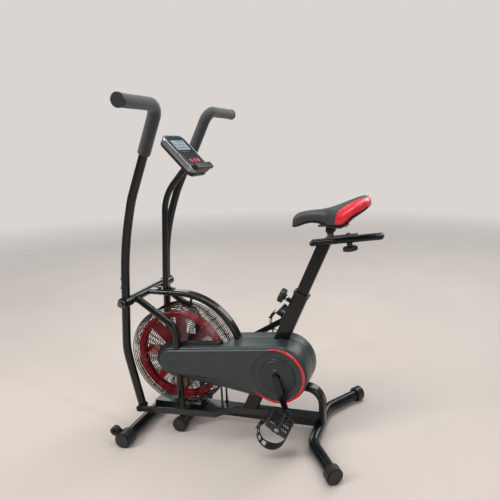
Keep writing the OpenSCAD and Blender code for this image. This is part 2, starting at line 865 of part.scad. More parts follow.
module swing_right() {
    mirror([1, 0, 0]) translate([0, pivot_y, pivot_z]) rotate([right_swing, 0, 0])
        translate([0, -pivot_y, -pivot_z]) children();
}

grip_from = handle_mid + grip_start * (handle_corner - handle_mid);

// The steel tube: two lengths bolted together above the pivot, a hub, and a sleeve at the foot
module handle() {
    path = [handle_end + [0, -1, 5], handle_low, handle_high, handle_mid, handle_corner, handle_tip];
    bends = [260, 900, 300, grip_bend];
    difference() {
        union() {
            bent_rod(path, bends, handle_d, bend_swell);
            rod_x(handle_x - handle_d / 2, handle_x + handle_d / 2 - 1, handle_end[1], handle_end[2], 12);
            rod_x(handle_x - 19, handle_x + 19, pivot_y, pivot_z, hub_r);
        }
        bent_rod(path, bends, handle_d - 2 * wall, -bend_swell, -8);
        rod_x(0, 200, pivot_y, pivot_z, spindle_r + clear);
        rod_x(0, 200, handle_end[1], handle_end[2], foot_bore_r);
    }
    for (z = [572, 606]) {
        y = pivot_y + (z - pivot_z) * (handle_high[1] - handle_low[1]) / (handle_high[2] - handle_low[2]);
        translate([handle_x, y - handle_d / 2 - 4, z]) rotate([-90, 0, 0]) cylinder(h = 6, r = 5);
    }
}

module handle_left() {
    color("#17191b") handle();
}

module handle_right() {
    color("#17191b") swing_right() handle();
}

module grip() {
    path = [grip_from, handle_corner, handle_tip];
    difference() {
        bent_rod(path, [grip_bend], grip_d, bend_swell);
        bent_rod(path, [grip_bend], handle_d + 0.04, bend_swell, 1);
    }
}

module grip_left() {
    color("#4a4d50") grip();
}

module grip_right() {
    color("#4a4d50") swing_right() grip();
}

module grip_cap() {
    out = unit(handle_tip - handle_corner);
    rod(handle_tip, handle_tip + 4 * out, grip_d / 2 + 1);
}

module grip_caps_left() {
    color("#3a3c3e") grip_cap();
}

module grip_caps_right() {
    color("#3a3c3e") swing_right() grip_cap();
}

// ---------- console ----------

module console_axes() {
    translate(console_mid) rotate([-console_lean, 0, 0]) children();
}

module console_post() {
    color("#17191b") {
        difference() {
            bent_pipe([post_foot, post_knee, post_head], [180], post_tube_d);
            translate([-50, -500, 0]) cube([100, 300, pivot_z + arch_h / 2]);
        }
        translate([-arch_w / 2 + 3, -384, pivot_z + arch_h / 2]) cube([arch_w - 6, 64, 4]);
        for (y = [-376, -328]) translate([0, y, pivot_z + arch_h / 2 + 4]) hex_head(5, 7);
    }
}

// The top of the post, seen from the console's axes
module post_room() {
    rotate([console_lean, 0, 0]) translate(-console_mid) rod(post_knee, post_head, post_tube_d / 2);
}

module console_case() {
    color("#54585c") console_axes() difference() {
        union() {
            translate([0, 3, -30]) linear_extrude(14) round_box(console_w - 16, console_len, 22);
            translate([0, 0, -18]) linear_extrude(15) round_box(console_w - 6, console_len - 6, 23);
            translate([0, 0, -4]) linear_extrude(8) round_box(console_w, console_len, 26);
            translate([-console_w / 2 + 8, console_len / 2 - 24.5, 0]) cube([console_w - 16, 27.5, 22]);
        }
        translate([0, -8, 2]) linear_extrude(10) round_box(console_w - 22, console_len - 34, 16);
        post_room();
        for (i = [-1 : 1]) translate([i * button_gap, button_y, -10]) cylinder(h = 20, r = button_r + clear);
    }
}

module console_screen() {
    color("#9fb0c0") console_axes() difference() {
        union() {
            translate([0, -8, 2]) linear_extrude(1.6) round_box(console_w - 22.4, console_len - 34.4, 15.8);
            translate([-38, -66, 3.6]) cube([76, 44, 1]);
        }
        for (i = [-1 : 1]) translate([i * button_gap, button_y, -10]) cylinder(h = 20, r = button_r + clear);
    }
}

module console_button(i) {
    color("#c22430") console_axes() translate([i * button_gap, button_y, -2])
        cylinder(h = 8, r = button_r);
}

module button_reset() {
    console_button(-1);
}

module button_mode() {
    console_button(0);
}

module button_set() {
    console_button(1);
}

// ---------- seat ----------

function on_rail(s, up = 0) = rail_start + s * rail_dir + up * rail_up;

module rail_axes(s) {
    axes_at(on_rail(s), [1, 0, 0], rail_dir, rail_up) children();
}

slot_from = 78;
slot_to = 232;

module seat_post() {
    color("#141517") difference() {
        along_seat(seat_len - post_in) linear_extrude(post_in + post_out + 20) difference() {
            round_box(post_w, post_d, 5);
            round_box(post_w - 2 * wall, post_d - 2 * wall, 3);
        }
        rail_axes(-50) translate([-100, 0, -rail_h / 2]) cube([200, 400, 100]);
        for (i = [-3 : 5]) rod(on_seat(pin_at + 25 * i), on_seat(pin_at + 25 * i, 40), 5);
    }
}

// Flat-oval tube with rounded ends and a slot that the saddle's bolt slides in
module seat_rail() {
    color("#1b1d1f") difference() {
        union() {
            axes_at(on_rail(rail_len - 10), [1, 0, 0], rail_up, -rail_dir)
                linear_extrude(rail_len - 20) stadium(rail_w, rail_h);
            for (s = [10, rail_len - 10]) {
                axes_at(on_rail(s), [1, 0, 0], rail_dir, rail_up) {
                    rotate([0, 90, 0]) translate([0, 0, -(rail_w - rail_h) / 2])
                        cylinder(h = rail_w - rail_h, d = rail_h);
                    for (x = [-1, 1]) translate([x * (rail_w - rail_h) / 2, 0, 0]) sphere(d = rail_h);
                }
            }
        }
        axes_at(on_rail(rail_len - 10), [1, 0, 0], rail_up, -rail_dir)
            linear_extrude(rail_len - 20) stadium(rail_w - 2 * wall, rail_h - 2 * wall);
        rail_axes(slot_from) translate([-5.5, 0, -30]) cube([11, slot_to - slot_from, 60]);
    }
}

bolt_s = 138;                     // saddle bolt, along the rail
stub_s = 74;                      // saddle stub, along the rail

// Plate on top of the rail with the saddle's stub, and the bolt that goes down through the slot
module seat_slider() {
    color("#232527") {
        rail_axes(0) {
            translate([-17, stub_s - 16, rail_h / 2 + 0.3]) cube([34, 110, 5]);
            translate([0, bolt_s, -rail_h / 2 - 26]) cylinder(h = 50, r = 4.5);
            translate([0, bolt_s, rail_h / 2 + 5.3]) hex_head(6, 9);
        }
        translate(on_rail(stub_s, rail_h / 2)) {
            translate([0, 0, 3]) cylinder(h = 30, r = 11);
        }
        rod_x(-16, 16, on_rail(stub_s)[1], saddle_pivot_z, 6);
    }
}

saddle_pivot_z = 786;
saddle_pivot_y = on_rail(stub_s)[1];

module slider_knob() {
    color("#2a2c2f") rail_axes(bolt_s) difference() {
        union() {
            translate([0, 0, -rail_h / 2 - 15]) cylinder(h = 14, r = 10);
            translate([0, 0, -rail_h / 2 - 30]) cylinder(h = 15, r = 24);
        }
        translate([0, 0, -rail_h / 2 - 28]) cylinder(h = 40, r = 4.5 + clear);
        for (i = [0 : 11]) rotate(i * 30) translate([27, 0, -rail_h / 2 - 31]) cylinder(h = 20, r = 5);
    }
}

// Clamp cheeks on the stub's cross pin, and the two saddle wires that they hold
module saddle_clamp() {
    color("#1c1d1f") {
        for (s = [-1, 1]) difference() {
            union() {
                side_view(s * 14 - 2, s * 14 + 2) translate([saddle_pivot_y, saddle_pivot_z]) circle(r = 14);
                translate([s * 14 - 2, saddle_pivot_y - 14, saddle_pivot_z]) cube([4, 28, 16]);
            }
            rod_x(-30, 30, saddle_pivot_y, saddle_pivot_z, 6 + clear);
        }
        translate([-16, saddle_pivot_y - 14, saddle_pivot_z + 12]) cube([32, 28, 4]);
        for (s = [-1, 1]) rod([s * 16, saddle_pivot_y - 40, 800], [s * 16, saddle_pivot_y + 60, 804], 4);
    }
}

module ball(x, y, z, r) {
    translate([x, y, z]) sphere(r = r, $fn = 24);
}

// The space under the pad that the saddle's base fills
module saddle_underside(grow) {
    hull() {
        ball(0, 205, 792, 16 + grow);
        ball(0, 330, 806, 26 + grow);
        ball(0, 395, 834, 20 + grow);
    }
}

// Saddle: a narrow nose at the front and two wings that widen and rise towards the back
module saddle_pad() {
    w = saddle_w / 2;
    color("#2f3133") difference() {
        union() {
            hull() {
                ball(0, 177, 810, 17);
                ball(0, 235, 824, 22);
                ball(0, 310, 836, 26);
            }
            hull() {
                ball(0, 285, 836, 22);
                for (s = [-1, 1]) {
                    ball(s * (w - 20), 350, 836, 20);
                    ball(s * (w - 24), 396, 866, 20);
                    ball(s * 40, 412, 886, 20);
                }
            }
        }
        saddle_underside(0);
    }
}

module saddle_base() {
    color("#1b1c1d") difference() {
        saddle_underside(0);
        translate([0, 0, -3]) saddle_underside(-2);
        translate([-100, 100, 700]) cube([200, 400, 88]);
    }
}

module seat_pin() {
    color("#34373a") {
        rod(on_seat(pin_at, post_d / 2 + 0.6), on_seat(pin_at, 62), 4);
        rod(on_seat(pin_at, 47), on_seat(pin_at, 54), 12);
        rod(on_seat(pin_at, 53), on_seat(pin_at, 73), 27);
    }
}

base_beam();
front_stabilizer();
rear_stabilizer();
fan_cross_tube();
end_caps();
wheel_brackets();
transport_wheels_left();
transport_wheels_right();
pivot_tube();
pivot_spindle();
arch_tube();
stay_left();
stay_right();
seat_tube();
seat_tube_collar();
bottom_bracket();
crank_bearings();
rear_arch();
cage_supports();
cover_left();
cover_right();
cover_trim();
cover_caps();
cage_left();
cage_right();
cage_rim();
fan_axle();
fan_ring();
fan_blades();
fan_hub();
chain();
crank_axle();
crank_arms();
pedal_axles();
link_left();
link_right();
pedal_left();
pedal_strap_left();
pedal_right();
pedal_strap_right();
handle_left();
handle_right();
grip_left();
grip_right();
grip_caps_left();
grip_caps_right();
console_post();
console_case();
console_screen();
button_reset();
button_mode();
button_set();
seat_post();
seat_rail();
seat_slider();
slider_knob();
saddle_clamp();
saddle_base();
saddle_pad();
seat_pin();
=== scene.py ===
import json
import math
import bpy
import bmesh
from mathutils import Matrix, Vector, noise


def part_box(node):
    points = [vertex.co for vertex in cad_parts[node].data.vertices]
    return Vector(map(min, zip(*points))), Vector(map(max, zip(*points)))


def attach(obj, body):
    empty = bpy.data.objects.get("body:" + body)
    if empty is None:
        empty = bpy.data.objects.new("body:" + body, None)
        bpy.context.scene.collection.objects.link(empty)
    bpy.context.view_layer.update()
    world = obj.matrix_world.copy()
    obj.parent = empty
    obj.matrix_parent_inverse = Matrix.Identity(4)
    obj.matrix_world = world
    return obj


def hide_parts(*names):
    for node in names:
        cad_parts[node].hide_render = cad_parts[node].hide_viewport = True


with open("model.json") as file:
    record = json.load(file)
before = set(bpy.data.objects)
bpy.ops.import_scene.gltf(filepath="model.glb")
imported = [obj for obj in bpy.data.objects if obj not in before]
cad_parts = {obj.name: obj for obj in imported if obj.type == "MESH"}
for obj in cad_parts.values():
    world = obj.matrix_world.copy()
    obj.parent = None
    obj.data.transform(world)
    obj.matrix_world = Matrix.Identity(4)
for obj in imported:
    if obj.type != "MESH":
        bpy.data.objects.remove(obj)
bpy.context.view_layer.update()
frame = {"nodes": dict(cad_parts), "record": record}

# An air bike: a fan exercise bike. Sizes below are in millimetres and become metres in MM.
# +Z is up, the fan end points to -Y and the rider's left is +X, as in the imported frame.

MM = 0.001


# ---------- places taken from the frame ----------

def middle(node):
    """The middle of a CAD node's box, in millimetres."""
    low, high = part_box(node)
    return (Vector(low) + Vector(high)) / 2 / MM


def corners(node):
    """The lowest and highest corner of a CAD node's box, in millimetres."""
    low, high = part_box(node)
    return Vector(low) / MM, Vector(high) / MM


def joint_axis(name):
    """A joint's axis, as a unit vector."""
    return Vector(JOINTS[name]["axis"]).normalized()


def joint_place(name):
    """A point on a joint's axis, in millimetres."""
    return Vector(JOINTS[name]["pos_m"]) / MM


def reach_along(node, out):
    """How far a CAD node reaches along a direction: its least and greatest distance, in millimetres."""
    along = [v.co.dot(out) / MM for v in frame["nodes"][node].data.vertices]
    return min(along), max(along)


JOINTS = {joint["name"]: joint for joint in frame["record"]["behaviour"]["joints"]}
FAN = middle("fan_ring")
CRANK = middle("crank_axle")
PIN = {1: middle("pedal_left"), -1: middle("pedal_right")}
COVER_LOW, COVER_HIGH = corners("cover_left")
COVER_FAR = corners("cover_right")[0].x
REAR_R = (COVER_HIGH.z - COVER_LOW.z) / 2
FRONT_R = FAN.y - COVER_LOW.y
FACE_X = COVER_HIGH.x
WALL_Y = corners("cover_right")[0].y
CAGE_R = (corners("cage_rim")[1] - corners("cage_rim")[0]).z / 2
CAGE_X = corners("cage_rim")[1].x


# ---------- materials ----------

class Look:
    """A material under construction: short ways to add nodes to its tree."""

    def __init__(self, name, colour, rough, metal=0.0, **sockets):
        self.mat = bpy.data.materials.new(name)
        self.mat.use_nodes = True
        self.tree = self.mat.node_tree
        self.shader = self.tree.nodes["Principled BSDF"]
        self.set("Base Color", (*colour, 1))
        self.set("Roughness", rough)
        self.set("Metallic", metal)
        for socket, value in sockets.items():
            self.set(socket.replace("_", " "), value)
        self.mat.diffuse_color = (*colour, 1)
        self.colour, self.rough = colour, rough
        self.height = None

    def set(self, socket, value):
        if isinstance(value, bpy.types.NodeSocket):
            self.tree.links.new(value, self.shader.inputs[socket])
        else:
            self.shader.inputs[socket].default_value = value

    def node(self, kind, inputs=(), **settings):
        made = self.tree.nodes.new("ShaderNode" + kind)
        for name, value in settings.items():
            setattr(made, name, value)
        for name, value in dict(inputs).items():
            if isinstance(value, bpy.types.NodeSocket):
                self.tree.links.new(value, made.inputs[name])
            else:
                made.inputs[name].default_value = value
        return made

    def place(self, stretch=(1, 1, 1)):
        """Object coordinates in metres, stretched along the axes."""
        coords = self.node("TexCoord").outputs["Object"]
        return self.node("Mapping", {"Vector": coords, "Scale": stretch}).outputs[0]

    def noise(self, size, detail=3.0, rough=0.55, stretch=(1, 1, 1)):
        """Noise whose lumps are about size metres across."""
        inputs = {"Vector": self.place(stretch), "Scale": 1 / size, "Detail": detail, "Roughness": rough}
        return self.node("TexNoise", inputs).outputs["Fac"]

    def cells(self, size, feature="F1", stretch=(1, 1, 1)):
        inputs = {"Vector": self.place(stretch), "Scale": 1 / size}
        return self.node("TexVoronoi", inputs, feature=feature).outputs["Distance"]

    def ramp(self, value, start, end, low=0.0, high=1.0):
        inputs = {"Value": value, "From Min": start, "From Max": end, "To Min": low, "To Max": high}
        return self.node("MapRange", inputs).outputs["Result"]

    def math(self, operation, a, b):
        made = self.node("Math", operation=operation)
        for i, value in enumerate((a, b)):
            if isinstance(value, bpy.types.NodeSocket):
                self.tree.links.new(value, made.inputs[i])
            else:
                made.inputs[i].default_value = value
        return made.outputs[0]

    def blend(self, factor, a, b):
        """Colour a where factor is 0 and colour b where it is 1."""
        made = self.node("Mix", data_type="RGBA")
        for socket, value in ((made.inputs[0], factor), (made.inputs[6], a), (made.inputs[7], b)):
            if isinstance(value, bpy.types.NodeSocket):
                self.tree.links.new(value, socket)
            else:
                socket.default_value = value if isinstance(value, float) else (*value, 1)
        return made.outputs[2]

    def edges(self, radius=0.0012):
        """1 on sharp edges, 0 on flat and gently curved surfaces."""
        soft = self.node("Bevel", {"Radius": radius}, samples=4).outputs["Normal"]
        true = self.node("NewGeometry").outputs["Normal"]
        dot = self.node("VectorMath", {0: soft, 1: true}, operation="DOT_PRODUCT").outputs["Value"]
        return self.ramp(dot, 0.97, 0.8)

    def bump(self, height, depth, strength=1.0):
        """Raises the surface by up to depth metres where height is 1."""
        inputs = {"Height": height, "Distance": depth, "Strength": strength}
        if self.height:
            inputs["Normal"] = self.height
        self.height = self.node("Bump", inputs).outputs["Normal"]
        self.set("Normal", self.height)

    def vary(self, amount, size=0.05, lighter=None):
        """Lets the colour drift towards a lighter one, and the roughness with it."""
        drift = self.ramp(self.noise(size), 0.35, 0.68)
        light = lighter or tuple(min(1, c * (1 + amount) + 0.0008) for c in self.colour)
        self.set("Base Color", self.blend(drift, self.colour, light))
        self.set("Roughness", self.ramp(drift, 0, 1, self.rough * 0.86, self.rough * 1.14))


def gloss_paint(name, colour, rough=0.3):
    """Powder coat: slight orange peel, faint dust in the flats and paint thinned at the edges."""
    look = Look(name, colour, rough, Coat_Weight=0.5, Coat_Roughness=0.07, Specular_IOR_Level=0.2)
    look.vary(0.3, 0.03)
    worn = look.math("MULTIPLY", look.edges(), look.ramp(look.noise(0.004), 0.45, 0.62))
    base = look.shader.inputs["Base Color"].links[0].from_socket
    look.set("Base Color", look.blend(worn, base, tuple(c * 3 + 0.03 for c in colour)))
    look.bump(look.noise(0.0016, 2), 0.00006)
    look.bump(look.noise(0.0004, 1), 0.00001)
    return look.mat


def moulded(name, colour, rough=0.45, grain=0.0007, depth=0.00004, **sockets):
    """Moulded plastic: a fine spark-eroded grain, cloudy gloss and edges rubbed a little lighter."""
    look = Look(name, colour, rough, **sockets)
    look.vary(0.25, 0.04)
    base = look.shader.inputs["Base Color"].links[0].from_socket
    look.set("Base Color", look.blend(look.edges(), base, tuple(c * 1.7 + 0.01 for c in colour)))
    look.bump(look.cells(grain), depth)
    look.bump(look.noise(0.012, 2), 0.00005)
    return look.mat


def metal(name, colour, rough, brushed=(1, 1, 1), scratch=0.00002):
    """Bare metal: fine brush marks along the long direction and smudged polish."""
    look = Look(name, colour, rough, 1.0)
    look.vary(0.2, 0.02)
    look.bump(look.noise(0.0006, 3, 0.6, brushed), scratch)
    return look.mat


def foam_rubber(name, colour):
    """Closed-cell foam: open pores in the skin, painted shade darkening each pore, a soft sheen and a
    slightly uneven dye.
    """
    look = Look(name, colour, 0.82, Sheen_Weight=0.35, Sheen_Roughness=0.5)
    look.vary(0.45, 0.02)
    pores = look.ramp(look.cells(0.0011), 0.0, 0.45)
    look.bump(pores, 0.00022)
    look.bump(look.noise(0.0035, 3), 0.00018)
    base = look.shader.inputs["Base Color"].links[0].from_socket
    # painted shade: each pore's dent is darkened to 0.45 of the foam colour
    dark = tuple(c * 0.45 for c in colour)
    look.set("Base Color", look.blend(look.ramp(pores, 0.0, 0.6), dark, base))
    return look.mat


def saddle_skin(name, black, red):
    """Stitched vinyl: leather grain, black panels, and red ones where the mesh's own mark says so."""
    look = Look(name, black, 0.44, Sheen_Weight=0.08)
    mark = look.node("Attribute", attribute_name="red_panel").outputs["Fac"]
    is_red = look.ramp(mark, 0.49, 0.51)
    drift = look.ramp(look.noise(0.03), 0.35, 0.65)
    blacks = look.blend(drift, black, tuple(c * 1.35 for c in black))
    reds = look.blend(drift, red, tuple(min(1, c * 1.15 + 0.01) for c in red))
    look.set("Base Color", look.blend(is_red, blacks, reds))
    look.set("Roughness", look.ramp(is_red, 0, 1, 0.46, 0.28))
    grain = look.math("ADD", look.cells(0.0016), look.math("MULTIPLY", look.noise(0.0008), 0.4))
    look.bump(grain, 0.00012)
    return look.mat


def lit_screen(name):
    """A grey liquid-crystal display behind clear plastic."""
    look = Look(name, (0.3, 0.37, 0.42), 0.14, Coat_Weight=0.6, Coat_Roughness=0.05)
    look.vary(0.12, 0.03)
    look.bump(look.noise(0.02, 1), 0.00003)
    return look.mat


def dark_glass(name):
    """The console's dark window: smooth, with a deep gloss and a few smears."""
    look = Look(name, (0.012, 0.014, 0.02), 0.16, Coat_Weight=0.5, Coat_Roughness=0.06)
    look.vary(0.5, 0.02)
    look.bump(look.noise(0.015, 1), 0.00002)
    return look.mat


def floor_paint():
    """Pale paint that thins out to nothing far from the bike, so that no horizon shows."""
    look = Look("floor", (0.57, 0.51, 0.465), 0.6, Specular_IOR_Level=0.2)
    look.vary(0.04, 0.6)
    look.bump(look.noise(0.01, 4), 0.0001)
    away = look.node("VectorMath", {0: look.place()}, operation="LENGTH").outputs["Value"]
    look.set("Alpha", look.ramp(away, 5.8, 1.0))
    return look.mat


BLACK = (0.003, 0.0042, 0.0044)
RED = (0.6, 0.008, 0.016)
LOOKS = {
    "frame_black": gloss_paint("frame_paint", BLACK, 0.3),
    "handle_black": gloss_paint("handle_paint", (0.0045, 0.005, 0.0052), 0.2),
    "cover_plastic": moulded("cover_plastic", (0.023, 0.032, 0.033), 0.38, 0.0009),
    "red_plastic": moulded("red_plastic", RED, 0.25, 0.0012, 0.00001, Coat_Weight=0.4),
    "black_plastic": moulded("black_plastic", (0.011, 0.0115, 0.012), 0.42),
    "fan_red": gloss_paint("fan_paint", (0.56, 0.008, 0.014), 0.34),
    "wire_black": metal("wire_chrome", (0.055, 0.057, 0.06), 0.2, (1, 1, 1), 0.000004),
    "plain_steel": metal("dark_steel", (0.16, 0.16, 0.158), 0.36, (1, 4, 1)),
    "chrome_steel": metal("chrome", (0.68, 0.69, 0.7), 0.12, (4, 1, 1), 0.000006),
    "crank_paint": gloss_paint("crank_paint", (0.006, 0.0062, 0.0065), 0.2),
    "link_paint": gloss_paint("link_paint", (0.012, 0.013, 0.0135), 0.24),
    "foam": foam_rubber("grip_foam", (0.03, 0.0315, 0.034)),
    "saddle_cover": saddle_skin("saddle_vinyl", (0.028, 0.03, 0.031), (0.68, 0.012, 0.026)),
    "wheel_rubber": moulded("wheel_rubber", (0.02, 0.02, 0.021), 0.7, 0.0014, 0.00008),
    "strap_rubber": moulded("strap_rubber", (0.014, 0.0145, 0.015), 0.55, 0.0016, 0.00006),
    "silver_plastic": moulded("silver_plastic", (0.3, 0.31, 0.32), 0.24, 0.0005, 0.00001, Metallic=0.75),
    "screen_glass": lit_screen("screen"),
}


# ---------- mesh tools ----------

def piece(name, bm, body, slot, replaces=(), material=None, smooth=35.0):
    """Makes a mesh built in millimetres into a piece that rides on a body."""
    bmesh.ops.scale(bm, vec=(MM, MM, MM), verts=bm.verts)
    bmesh.ops.recalc_face_normals(bm, faces=bm.faces)
    mesh = bpy.data.meshes.new(name)
    bm.to_mesh(mesh)
    bm.free()
    obj = bpy.data.objects.new(name, mesh)
    bpy.context.scene.collection.objects.link(obj)
    mesh.materials.append(material or LOOKS[slot])
    mesh.shade_smooth()
    mesh.set_sharp_from_angle(angle=math.radians(smooth))
    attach(obj, body)
    if replaces:
        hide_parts(*replaces)
    return obj


def add_modifier(obj, kind, **settings):
    made = obj.modifiers.new(kind.lower(), kind)
    for name, value in settings.items():
        setattr(made, name, value)
    return made


def settle(obj):
    """Applies every modifier, so that the mesh is final."""
    bpy.context.view_layer.update()
    graph = bpy.context.evaluated_depsgraph_get()
    mesh = bpy.data.meshes.new_from_object(obj.evaluated_get(graph))
    obj.modifiers.clear()
    old = obj.data
    obj.data = mesh
    bpy.data.meshes.remove(old)


def ring_faces(bm, rings, closed=True, caps=True):
    """Joins rings of vertices into a skin."""
    count = len(rings[0])
    for a, b in zip(rings, rings[1:]):
        for i in range(count if closed else count - 1):
            j = (i + 1) % count
            bm.faces.new((a[i], a[j], b[j], b[i]))
    if caps:
        bm.faces.new(list(reversed(rings[0])))
        bm.faces.new(rings[-1])


def lathe(bm, centre, profile, steps=72, axis="X"):
    """Turns (along, radius) pairs round an axis through centre. A radius of 0 closes the skin."""
    rings = []
    for along, radius in profile:
        ring = []
        for i in range(steps if radius > 0 else 1):
            a = math.tau * i / steps
            u, v = radius * math.cos(a), radius * math.sin(a)
            offset = {"X": (along, u, v), "Y": (u, along, v), "Z": (u, v, along)}[axis]
            ring.append(bm.verts.new(Vector(centre) + Vector(offset)))
        rings.append(ring)
    for a, b in zip(rings, rings[1:]):
        for i in range(steps):
            j = (i + 1) % steps
            if len(a) == 1 and len(b) > 1:
                bm.faces.new((a[0], b[j], b[i]))
            elif len(b) == 1 and len(a) > 1:
                bm.faces.new((a[i], a[j], b[0]))
            elif len(a) > 1:
                bm.faces.new((a[i], a[j], b[j], b[i]))


def turned(bm, origin, along, profile, steps=72, flutes=0, depth=0.0):
    """Turns (distance, radius) pairs round any axis. Flutes press the rim in by depth millimetres."""
    along = Vector(along).normalized()
    side = along.orthogonal().normalized()
    top = along.cross(side)
    rings = []
    widest = max(radius for distance, radius in profile)
    for distance, radius in profile:
        centre = Vector(origin) + along * distance
        fluted = flutes and radius > 0.8 * widest
        ring = []
        for i in range(steps):
            a = math.tau * i / steps
            dent = depth * max(0, math.cos(flutes * a)) ** 0.8 if fluted else 0
            r = max(radius - dent, 0.01)
            ring.append(bm.verts.new(centre + (side * math.cos(a) + top * math.sin(a)) * r))
        rings.append(ring)
    ring_faces(bm, rings)


def hoop(bm, centre, axis, radius, thick, steps=96, sides=6, ripple=0.0):
    """A round wire ring about an axis. ripple makes it lumpy, as a weld bead is."""
    axis = Vector(axis).normalized()
    side = axis.orthogonal().normalized()
    top = axis.cross(side)
    rings = []
    for i in range(steps):
        a = math.tau * i / steps
        out = side * math.cos(a) + top * math.sin(a)
        fat = thick * (1 + ripple * math.sin(a * radius * 0.9))
        ring = []
        for k in range(sides):
            b = math.tau * k / sides
            place = Vector(centre) + out * (radius + fat * math.cos(b))
            ring.append(bm.verts.new(place + axis * fat * math.sin(b)))
        rings.append(ring)
    ring_faces(bm, rings + rings[:1], caps=False)


def block(bm, low, high, place, bevel=1.0, segments=2):
    """A box with rounded edges, given by its corners in the axes that place(x, y, z) leads out of."""
    made = bmesh.ops.create_cube(bm, size=1.0)["verts"]
    for v in made:
        v.co = Vector([a + (b - a) * (c + 0.5) for a, b, c in zip(low, high, v.co)])
    edges = list({e for v in made for e in v.link_edges})
    done = bmesh.ops.bevel(bm, geom=edges, offset=bevel, segments=segments, affect="EDGES", profile=0.5)
    for v in {v for f in done["faces"] for v in f.verts} | {v for v in made if v.is_valid}:
        v.co = place(*v.co)


def frames_along(line, up):
    """Unit side and up vectors at each point, turned as little as the line allows."""
    found = []
    for i, p in enumerate(line):
        ahead = line[min(i + 1, len(line) - 1)] - p
        behind = p - line[max(i - 1, 0)]
        along = (ahead.normalized() + behind.normalized()).normalized()
        up = (up - along * up.dot(along)).normalized()
        found.append((along.cross(up), up))
    return found


def sweep(bm, line, section, up=Vector((1, 0, 0)), caps=True):
    """Sweeps a section of (side, up) points along a line. section(t) may change with t from 0 to 1."""
    rings = []
    for i, (p, (side, top)) in enumerate(zip(line, frames_along(line, up))):
        shape = section(i / (len(line) - 1)) if callable(section) else section
        rings.append([bm.verts.new(p + side * a + top * b) for a, b in shape])
    ring_faces(bm, rings, caps=caps)


def circle(radius, steps=32):
    """Points round a circle, centred."""
    return [(radius * math.cos(math.tau * i / steps), radius * math.sin(math.tau * i / steps))
            for i in range(steps)]


def round_rect(w, h, r, steps=6):
    """Points round a rectangle with rounded corners, centred."""
    out = []
    for cx, cy, start in ((1, 1, 0), (-1, 1, 90), (-1, -1, 180), (1, -1, 270)):
        for i in range(steps + 1):
            a = math.radians(start + 90 * i / steps)
            out.append((cx * (w / 2 - r) + r * math.cos(a), cy * (h / 2 - r) + r * math.sin(a)))
    return out


def slab(bm, outline, levels, place):
    """A solid between levels: (height, inset) pairs, where inset pulls the outline in."""
    rings = []
    for height, inset in levels:
        ring = []
        for x, y in outline(inset):
            ring.append(bm.verts.new(place(x, y, height)))
        rings.append(ring)
    ring_faces(bm, rings)


# ---------- chain cover ----------

def cover_points(inset, low_bevel=0.0):
    """(y, z) points round the cover, inset from its edge: the front arc, the foot, the rear arc and
    the top. low_bevel pulls the middle of the foot further in."""
    gap = Vector((CRANK.y - FAN.y, CRANK.z - FAN.z))
    tilt = math.atan2(gap.y, gap.x)
    half = math.acos((FRONT_R - REAR_R) / gap.length)
    out = []

    def arc(centre, radius, start, end, count):
        for i in range(count + 1):
            a = start + (end - start) * i / count
            out.append((centre.y + radius * math.cos(a), centre.z + radius * math.sin(a)))

    def straight(count, pull):
        y0, z0 = out[-1]
        a = tilt - half if pull else tilt + half
        start, end = (CRANK, FAN) if not pull else (FAN, CRANK)
        radius = (REAR_R if not pull else FRONT_R) - inset
        last = (FRONT_R if not pull else REAR_R) - inset
        y1, z1 = end.y + last * math.cos(a), end.z + last * math.sin(a)
        for i in range(1, count):
            t = i / count
            lift = low_bevel * math.sin(math.pi * t) if pull else 0
            out.append((y0 + (y1 - y0) * t - lift * math.cos(a), z0 + (z1 - z0) * t - lift * math.sin(a)))

    arc(FAN, FRONT_R - inset, tilt + half, tilt + math.tau - half, 40)
    straight(24, True)
    arc(CRANK, REAR_R - inset, tilt - half, tilt + half, 72)
    straight(24, False)
    return out


def cover_left():
    """The near shell: a drum behind the fan, and an arm that runs forward past the fan's hub."""
    wall = 56
    levels = [(0.6, 1.2), (1.4, 0.2), (2.4, 0), (wall, 0), (74, 0), (79, 0.5), (83, 1.9), (85.6, 4.0),
              (86.4, 5.4), (86.4, 6.6), (87.4, 6.9), (88.4, 6.3), (91, 7.4), (93.6, 9.4), (95.2, 12),
              (FACE_X - 0.2, 15.5), (FACE_X, 19)]
    bm = bmesh.new()
    rings = []
    for x, inset in levels:
        t = max(0, x - 73) / (FACE_X - 73)
        pull = 30 * t * t * (3 - 2 * t)
        rings.append([bm.verts.new((x, y, z)) for y, z in cover_points(inset, pull)])
    count = len(rings[0])
    drum = [v.co.y > WALL_Y for v in rings[3]]
    first = next(i for i in range(count) if drum[i] and not drum[i - 1])
    last = next(i for i in range(count) if drum[i] and not drum[(i + 1) % count])
    for i in (first, last):
        for ring in rings[:4]:
            ring[i].co.y = WALL_Y
    for k, (a, b) in enumerate(zip(rings, rings[1:])):
        for i in range(count):
            j = (i + 1) % count
            if k >= 3 or (drum[i] and drum[j]):
                bm.faces.new((a[i], a[j], b[j], b[i]))
    for k in range(3):
        bm.faces.new((rings[k][first], rings[k + 1][first], rings[k + 1][last], rings[k][last]))
    bm.faces.new([rings[0][i] for i in range(count) if drum[i]])
    bm.faces.new([rings[3][i] for i in range(last, count)] + [rings[3][i] for i in range(first + 1)])
    bm.faces.new(rings[-1])
    bmesh.ops.delete(bm, geom=[v for v in bm.verts if not v.link_faces], context="VERTS")
    return bm


